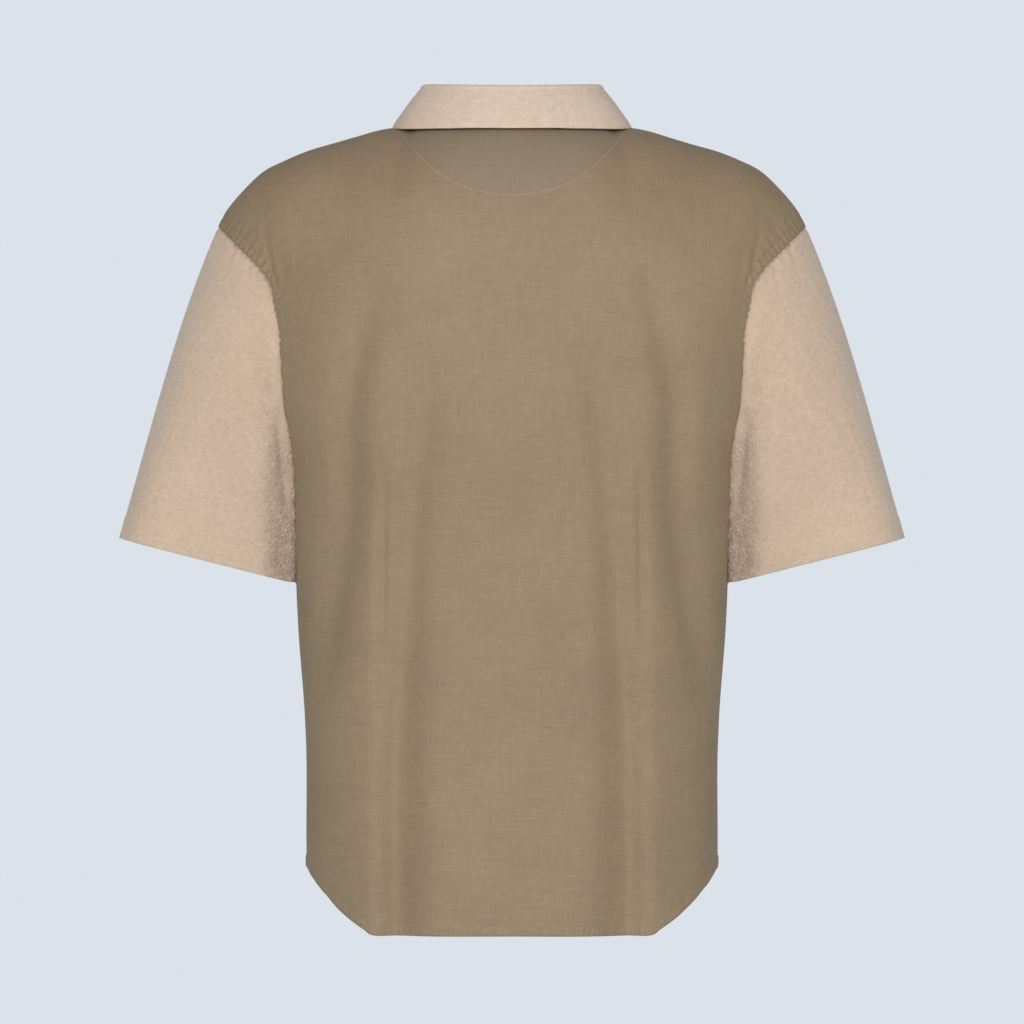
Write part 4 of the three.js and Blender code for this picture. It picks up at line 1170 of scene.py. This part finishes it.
# %% Make the buttons
button_plastic, t, shader = new_material("button plastic")
place = add_node(t, "ShaderNodeTexCoord").outputs["Object"]
cloud = noise_at(t, place, (0.004, 0.004, 0.0015), detail=4.0, roughness=0.6)
set_inputs(
    t, shader, Base_Color=two_tones(t, cloud, linear(176, 152, 122), linear(222, 204, 178)),
    Roughness=in_range(t, cloud, first=0.26, last=0.4), Coat_Weight=0.3,
)

BUTTON_HEIGHT, HOLE_OFF, HOLE_RADIUS = 2.6, 1.35, 0.75
PROFILE_RADIUS = [0, 4.6, 5.3, 5.6, 5.6, 5.35, 4.9, 4.4, 3.9, 3.3, 0]
PROFILE_HEIGHT = [0, 0, 0.25, 0.8, 1.7, 2.3, 2.55, 2.5, 2.1, 1.75, 1.6]
DRILL = [(0, -2), (HOLE_RADIUS, -2), (HOLE_RADIUS, 5), (0, 5)]


def spin_profile(profile, sides):
    """A closed turned solid, about Z, from pairs of radius and height in mm."""
    turn = np.arange(sides) * 2 * math.pi / sides
    rings = [np.stack([r * np.cos(turn), r * np.sin(turn), 0 * turn + h], 1) for r, h in profile[1:-1]]
    points = np.concatenate([[[0, 0, profile[0][1]]], *rings, [[0, 0, profile[-1][1]]]])
    faces, last = [], len(points) - 1
    for k in range(sides):
        n = (k + 1) % sides
        faces.append((0, 1 + n, 1 + k))
        for ring in range(len(rings) - 1):
            low, high = 1 + ring * sides, 1 + (ring + 1) * sides
            faces.append((low + k, low + n, high + n, high + k))
        faces.append((last - sides + k, last - sides + n, last))
    return points, faces


def frame_at(point, normal):
    """A matrix that stands a piece on a point, upright along the cloth's normal."""
    across = unit(np.cross([0, 0, 1], normal))
    return np.stack([across, np.cross(normal, across), normal], axis=1), np.asarray(point)


def button_place(name):
    low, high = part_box(name)
    centre = np.array((low + high) / 2) / MM
    rows = np.arange(front["grid"].shape[0])
    middle = front["grid"][:, HALF_COUNT]
    row = np.interp(centre[2], middle[UNDERARM_ROW:, 2], rows[UNDERARM_ROW:])
    normals = outward(front["grid"])
    normal = unit(sample(normals, np.array([row]), np.array([HALF_COUNT]))[0])
    return centre - normal * BUTTON_HEIGHT / 2, normal


def make_button(name):
    turned, at = frame_at(*button_place(name))
    points, faces = spin_profile(list(zip(PROFILE_RADIUS, PROFILE_HEIGHT)), 32)
    piece = add_object(name + "_turned", make_mesh(name + "_turned", points @ turned.T + at, faces))
    rods, rod_faces = [], []
    for x, y in ((1, 1), (1, -1), (-1, 1), (-1, -1)):
        rod, sides = spin_profile(DRILL, 12)
        rod_faces += [tuple(i + len(rods) * len(rod) for i in face) for face in sides]
        rods.append(rod + [x * HOLE_OFF, y * HOLE_OFF, 0])
    cutter = add_object("drill", make_mesh("drill", np.concatenate(rods) @ turned.T + at, rod_faces))
    cut = piece.modifiers.new("holes", "BOOLEAN")
    cut.operation, cut.object, cut.solver = "DIFFERENCE", cutter, "EXACT"
    drilled = applied(piece)
    piece.modifiers.clear()
    piece.data = drilled
    drilled.name = name + "_turned"
    bpy.data.objects.remove(cutter)
    drilled.shade_smooth()
    drilled.set_sharp_from_angle(angle=math.radians(38))
    drilled.materials.clear()
    drilled.materials.append(button_plastic)
    return piece, turned, at


buttons = {name: make_button(name) for name in ("button_1", "button_2", "button_3")}
print("button faces:", len(buttons["button_1"][0].data.polygons))

# %% [markdown]
# ## Stitches
#
# A stitch is a short bead of thread that lies in the cloth, and a seam has hundreds of them a few
# millimetres apart. Geometry Nodes walk along a path, put one small bead at each step and turn it along
# the path. The beads are then made real, as plain mesh.

# %% The stitch tree
def thread_material(name, dark, light):
    material, tree, shader = new_material(name)
    fuzz = noise_at(tree, add_node(tree, "ShaderNodeTexCoord").outputs["Object"], (0.0006, 0.0006, 0.0006))
    colour = two_tones(tree, fuzz, linear(*dark), linear(*light))
    set_inputs(tree, shader, Base_Color=colour, Roughness=0.55, Normal=bump(tree, fuzz, 0.0002, 0.5))
    return material


pale_thread = thread_material("pale thread", (184, 164, 128), (214, 196, 160))
body_thread = thread_material("body thread", (132, 115, 92), (160, 142, 116))
trim_thread = thread_material("trim thread", (196, 174, 150), (222, 204, 182))

stitching = bpy.data.node_groups.new("stitching", "GeometryNodeTree")
sides = stitching.interface
sides.new_socket("Geometry", in_out="OUTPUT", socket_type="NodeSocketGeometry")
SOCKETS = {}
for title, kind, value in [
    ("Geometry", "NodeSocketGeometry", None),
    ("Step", "NodeSocketFloat", 0.003),
    ("Stitch length", "NodeSocketFloat", 0.0023),
    ("Thread radius", "NodeSocketFloat", 0.0003),
    ("Unevenness", "NodeSocketFloat", 0.12),
    ("Seed", "NodeSocketInt", 3),
    ("Thread", "NodeSocketMaterial", None),
]:
    socket = sides.new_socket(title, in_out="INPUT", socket_type=kind)
    if value is not None:
        socket.default_value = value
    SOCKETS[title] = socket.identifier
t = stitching
ports = t.nodes.new("NodeGroupInput").outputs
walk = add_node(
    t, "GeometryNodeCurveToPoints", {"mode": "LENGTH"}, Curve=ports["Geometry"], Length=ports["Step"]
)
bead = add_node(t, "GeometryNodeMeshUVSphere", Segments=6, Rings=5, Radius=1.0)
turned = add_node(t, "FunctionNodeAlignRotationToVector", {"axis": "Z"}, Vector=walk.outputs["Tangent"])
uneven = add_node(t, "FunctionNodeRandomValue", {"data_type": "FLOAT"}, Seed=ports["Seed"])
ways = {"Min": "SUBTRACT", "Max": "ADD"}
limits = {name: maths(t, way, 1.0, ports["Unevenness"]) for name, way in ways.items()}
for socket in uneven.inputs:
    if socket.enabled and socket.name in limits:
        t.links.new(limits[socket.name], socket)
factor = next(s for s in uneven.outputs if s.enabled)
half_long = times(t, times(t, ports["Stitch length"], 0.5), factor)
size = add_node(t, "ShaderNodeCombineXYZ", X=ports["Thread radius"], Y=ports["Thread radius"], Z=half_long)
beads = add_node(
    t, "GeometryNodeInstanceOnPoints",
    Points=walk.outputs["Points"], Instance=bead.outputs["Mesh"],
    Rotation=turned.outputs[0], Scale=size.outputs[0],
)
real = add_node(t, "GeometryNodeRealizeInstances", Geometry=beads.outputs[0])
threaded = add_node(t, "GeometryNodeSetMaterial", Geometry=real.outputs[0], Material=ports["Thread"])
add_node(t, "NodeGroupOutput", Geometry=threaded.outputs[0])


def stitch(name, paths, thread, step=3.0, length=2.3, radius=0.28, seed=3):
    """Stitches along some paths of points in mm, as one mesh."""
    curve = bpy.data.curves.new(name, "CURVE")
    curve.dimensions = "3D"
    for path in paths:
        spline = curve.splines.new("POLY")
        spline.points.add(len(path) - 1)
        spline.points.foreach_set("co", np.concatenate([path * MM, np.ones((len(path), 1))], axis=1).ravel())
    line = add_object(name + "_line", curve)
    sewing = line.modifiers.new("stitching", "NODES")
    sewing.node_group = stitching
    sizes = {"Step": step * MM, "Stitch length": length * MM, "Thread radius": radius * MM}
    for title, value in {**sizes, "Seed": seed, "Thread": thread}.items():
        sewing[SOCKETS[title]] = value
    mesh = applied(line)
    bpy.data.objects.remove(line)
    mesh.name = name
    mesh.shade_smooth()
    piece = add_object(name, mesh)
    print(name, "triangles:", sum(len(p.vertices) - 2 for p in mesh.polygons))
    return piece


# %% [markdown]
# The paths follow the cloth: a line at a given distance from an edge, read from the grid's own lengths,
# and lifted to the face of the cloth. The half-moon's line is the pale one that shows on the back.

# %% Paths at a distance from an edge
def path_by_hem(panel, distance, lift):
    hem = panel["cloth"]["to_hem"]
    columns = np.arange(1, hem.shape[1] - 1)
    return lie_on(panel, row_where(hem, distance, columns), columns.astype(float), lift)


def path_by_armhole(panel, distance, lift, side):
    cloth = panel["cloth"]["to_side"]
    rows = np.arange(UNDERARM_ROW + 2, len(ROWS_V) - 1)
    half = np.arange(0, HALF_COUNT + 1)
    seen = cloth[:, : HALF_COUNT + 1] if side < 0 else cloth[:, ::-1][:, : HALF_COUNT + 1]
    columns = np.array([np.interp(distance, seen[r], half) for r in rows])
    columns = columns if side < 0 else cloth.shape[1] - 1 - columns
    return lie_on(panel, rows.astype(float), columns, lift)


def path_by_shoulder(panel, distance, lift, side):
    top = panel["cloth"]["to_top"]
    neck_column = np.argmin(abs(HALF_U - NECK_SHARE))
    columns = np.arange(HALF_COUNT + neck_column + 1, len(COLUMNS_U) - 3)
    rows = row_where(top, distance, columns)
    columns = columns if side > 0 else len(COLUMNS_U) - 1 - columns
    return lie_on(panel, rows, columns.astype(float), lift)


SURFACE, LEAF_SURFACE, STRIP_SURFACE = 0.5, 0.65, 0.55
SHOULDER_STITCH = 6.0
moon_path = lie_on(back, moon_r, moon_c, SURFACE + 0.1)
moon_stitches = stitch("stitches_half_moon", [moon_path], pale_thread, step=3.2, length=2.8, radius=0.2)
hems = [path_by_hem(panel, HEM_BAND, SURFACE) for panel in (back, front)]
hem_stitches = stitch("stitches_hem", hems, body_thread, radius=0.25, seed=5)
armholes = [path_by_armhole(p, ARMHOLE_BAND, SURFACE, side) for p in (back, front) for side in (-1, 1)]
armhole_stitches = stitch("stitches_armholes", armholes, body_thread, radius=0.25, seed=8)
shoulders = [path_by_shoulder(back, SHOULDER_STITCH, SURFACE, side) for side in (-1, 1)]
shoulder_stitches = stitch("stitches_shoulders", shoulders, body_thread, radius=0.25, seed=9)

# %% Stitches of the sleeves, the collar and the placket
def path_on_grid(grid, rows, columns, lift, inward=False, closed=False):
    normals = outward(grid, inward, closed)
    if closed:
        grid, normals = wrap(grid), wrap(normals)
    return sample(grid, rows, columns) + lift * unit(sample(normals, rows, columns))


cuff_gap = wrap(sleeve_cloth["to_cuff"])
around = np.arange(cuff_gap.shape[1] - 1)
cuff_rows = row_where(cuff_gap, CUFF_HEM, around)
cuff_path = path_on_grid(sleeve, cuff_rows, around.astype(float), SURFACE, closed=True)
cuff_stitches = stitch("stitches_cuffs", [cuff_path, cuff_path * mirror], trim_thread, radius=0.22, seed=11)

leaf_columns = np.arange(2, len(TURN) - 2)
leaf_rows = row_where(leaf_edge_gap, LEAF_STITCH, leaf_columns)
leaf_path = path_on_grid(leaf, leaf_rows, leaf_columns.astype(float), LEAF_SURFACE, inward=True)
fall_rows = np.arange(LEAF_FOLD_ROWS + 2, LEAF_FOLD_ROWS + 18) * 1.0
front_edges = [
    path_on_grid(leaf, fall_rows, np.full(len(fall_rows), c), LEAF_SURFACE, inward=True)
    for c in (4.0, len(TURN) - 5.0)
]
collar_stitches = stitch("stitches_collar", [leaf_path, *front_edges], trim_thread, radius=0.22, seed=12)

# The placket's lines: down both sides, across at two rows, and a cross between those.
strip = strips["upper"][0]
LEFT, RIGHT, BOX = 1.0, STRIP_COLUMNS - 2.0, (1.0, 9.0)
long_rows = np.arange(1, STRIP_ROWS - 1).astype(float)
across_columns = np.linspace(LEFT, RIGHT, STRIP_COLUMNS - 2)
runs = [(long_rows, np.full(len(long_rows), c)) for c in (LEFT, RIGHT)]
for first, last in ((BOX[0], BOX[0]), (BOX[1], BOX[1]), BOX, BOX[::-1]):
    runs.append((np.linspace(first, last, STRIP_COLUMNS - 2), across_columns))
lines = [path_on_grid(strip, rows, columns, STRIP_SURFACE) for rows, columns in runs]
placket_stitches = stitch("stitches_placket", lines, body_thread, radius=0.25, seed=14)

# %% Thread through the buttons
TIE_LOW, TIE_RISE = 1.35, 0.55
ties = []
for name, (piece, turned, at) in buttons.items():
    for x in (-1, 1):
        y = np.linspace(-1, 1, 9)
        line = stack(x * HOLE_OFF, y * HOLE_OFF, TIE_LOW + TIE_RISE * (1 - np.abs(y) ** 3))
        ties.append(line @ turned.T + at)
button_ties = stitch("thread_buttons", ties, trim_thread, step=0.45, length=0.9, radius=0.42, seed=15)

# %% [markdown]
# ## Putting the pieces on the body
#
# Every piece rides on the shirt's one body. Each cloth piece stands for its solid, which is hidden, and
# its cloth's area is printed beside the area it was cut to. The cut of a panel is its cloth laid flat: a
# little more than half the girth wide, and the length from the neck to the tail.

# %% Attach cloth, buttons and stitches to the body, and hide the solids
cuts = {
    back_piece: ("back", "body_cloth", (0.60, 0.745), 0.365, ["collar_stand"]),
    front_piece: ("front", "body_cloth", (0.60, 0.71), 0.355, ["collar_stand"]),
    sleeve_pieces["left"]: ("sleeve_left", "trim_cloth", (0.50, 0.27), 0.088, ["back", "front"]),
    sleeve_pieces["right"]: ("sleeve_right", "trim_cloth", (0.50, 0.27), 0.088, ["back", "front"]),
    stand_piece: ("collar_stand", "trim_cloth", (0.47, 0.036), 0.0155, ["back", "front"]),
    leaf_piece: ("collar_leaf", "trim_cloth", (0.56, 0.085), 0.033, ["collar_stand"]),
    facing_piece: ("neck_facing", "facing_cloth", (0.205, 0.095), 0.0145, ["back"]),
    strips["upper"][1]: ("placket_upper", "body_cloth", (0.032, 0.135), 0.0043, ["front"]),
    strips["under"][1]: ("placket_under", "body_cloth", (0.032, 0.135), 0.0043, ["front"]),
}
for piece, (node, slot, flat, area, on) in cuts.items():
    print(node, "cloth m2:", round(sum(face.area for face in piece.data.polygons), 4), "cut m2:", area)
    declare(piece, node)
for name, (piece, _, _) in buttons.items():
    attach(piece, ROOT)
    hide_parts(name)
threads = {
    "trim_cloth": [moon_stitches, cuff_stitches, collar_stitches, button_ties],
    "body_cloth": [hem_stitches, armhole_stitches, shoulder_stitches, placket_stitches],
}
for slot, pieces in threads.items():
    for piece in pieces:
        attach(piece, ROOT)

# %% [markdown]
# ## Floor, background and light
#
# The shirt hangs filled out over a pale floor, in front of a plain pale ground. On each side stand three
# soft lights: a key high beside the camera, a weaker one further out that lights the sleeves and the
# side, and one for the front. The last two don't show in the cloth's shine.

# %% Stage and light
FLOOR_Z, FLOOR_RADIUS, FLOOR_CORNERS = -1300, 4200, 96
turn = np.arange(FLOOR_CORNERS) * 2 * math.pi / FLOOR_CORNERS
ring = stack(FLOOR_RADIUS * np.cos(turn), FLOOR_RADIUS * np.sin(turn), FLOOR_Z)
floor = add_object("floor", make_mesh("floor", ring, [tuple(range(FLOOR_CORNERS))]))
floor_paint, t, shader = new_material("floor paint")
grain = noise_at(t, add_node(t, "ShaderNodeTexCoord").outputs["Object"], (0.4, 0.4, 0.4))
paint = two_tones(t, grain, linear(222, 228, 235), linear(228, 234, 240))
set_inputs(t, shader, Base_Color=paint, Roughness=0.9)
floor.data.materials.append(floor_paint)

world = bpy.data.worlds.new("pale ground")
bpy.context.scene.world = world
world.use_nodes = True
t = world.node_tree
t.nodes.clear()
seen, fill = (
    add_node(t, "ShaderNodeBackground", Color=(*colour, 1), Strength=strength).outputs[0]
    for colour, strength in ((linear(219, 226, 234), 1.0), (linear(236, 238, 242), 0.3))
)
by_camera = add_node(t, "ShaderNodeLightPath").outputs["Is Camera Ray"]
ground = add_node(t, "ShaderNodeMixShader", i0=by_camera, i1=fill, i2=seen)
add_node(t, "ShaderNodeOutputWorld", Surface=ground.outputs[0])
bpy.context.scene.view_settings.view_transform = "Standard"


LIT_POINT = Vector((0, 0, -0.36))


def soft_light(name, place, size, power, reflected=True):
    light = bpy.data.lights.new(name, "AREA")
    light.shape, light.size, light.energy = "DISK", size, power
    lamp = bpy.data.objects.new(name, light)
    lamp.location = place
    lamp.rotation_euler = (Vector(place) - LIT_POINT).to_track_quat("Z", "Y").to_euler()
    lamp.visible_glossy = reflected
    collection.objects.link(lamp)


for side in (-1, 1):
    soft_light("key", (1.7 * side, 3.9, 1.1), 1.6, 64)
    soft_light("side", (2.7 * side, 2.2, 0.0), 1.0, 20, reflected=False)
    soft_light("front", (0.7 * side, -3.9, 0.2), 1.5, 40, reflected=False)
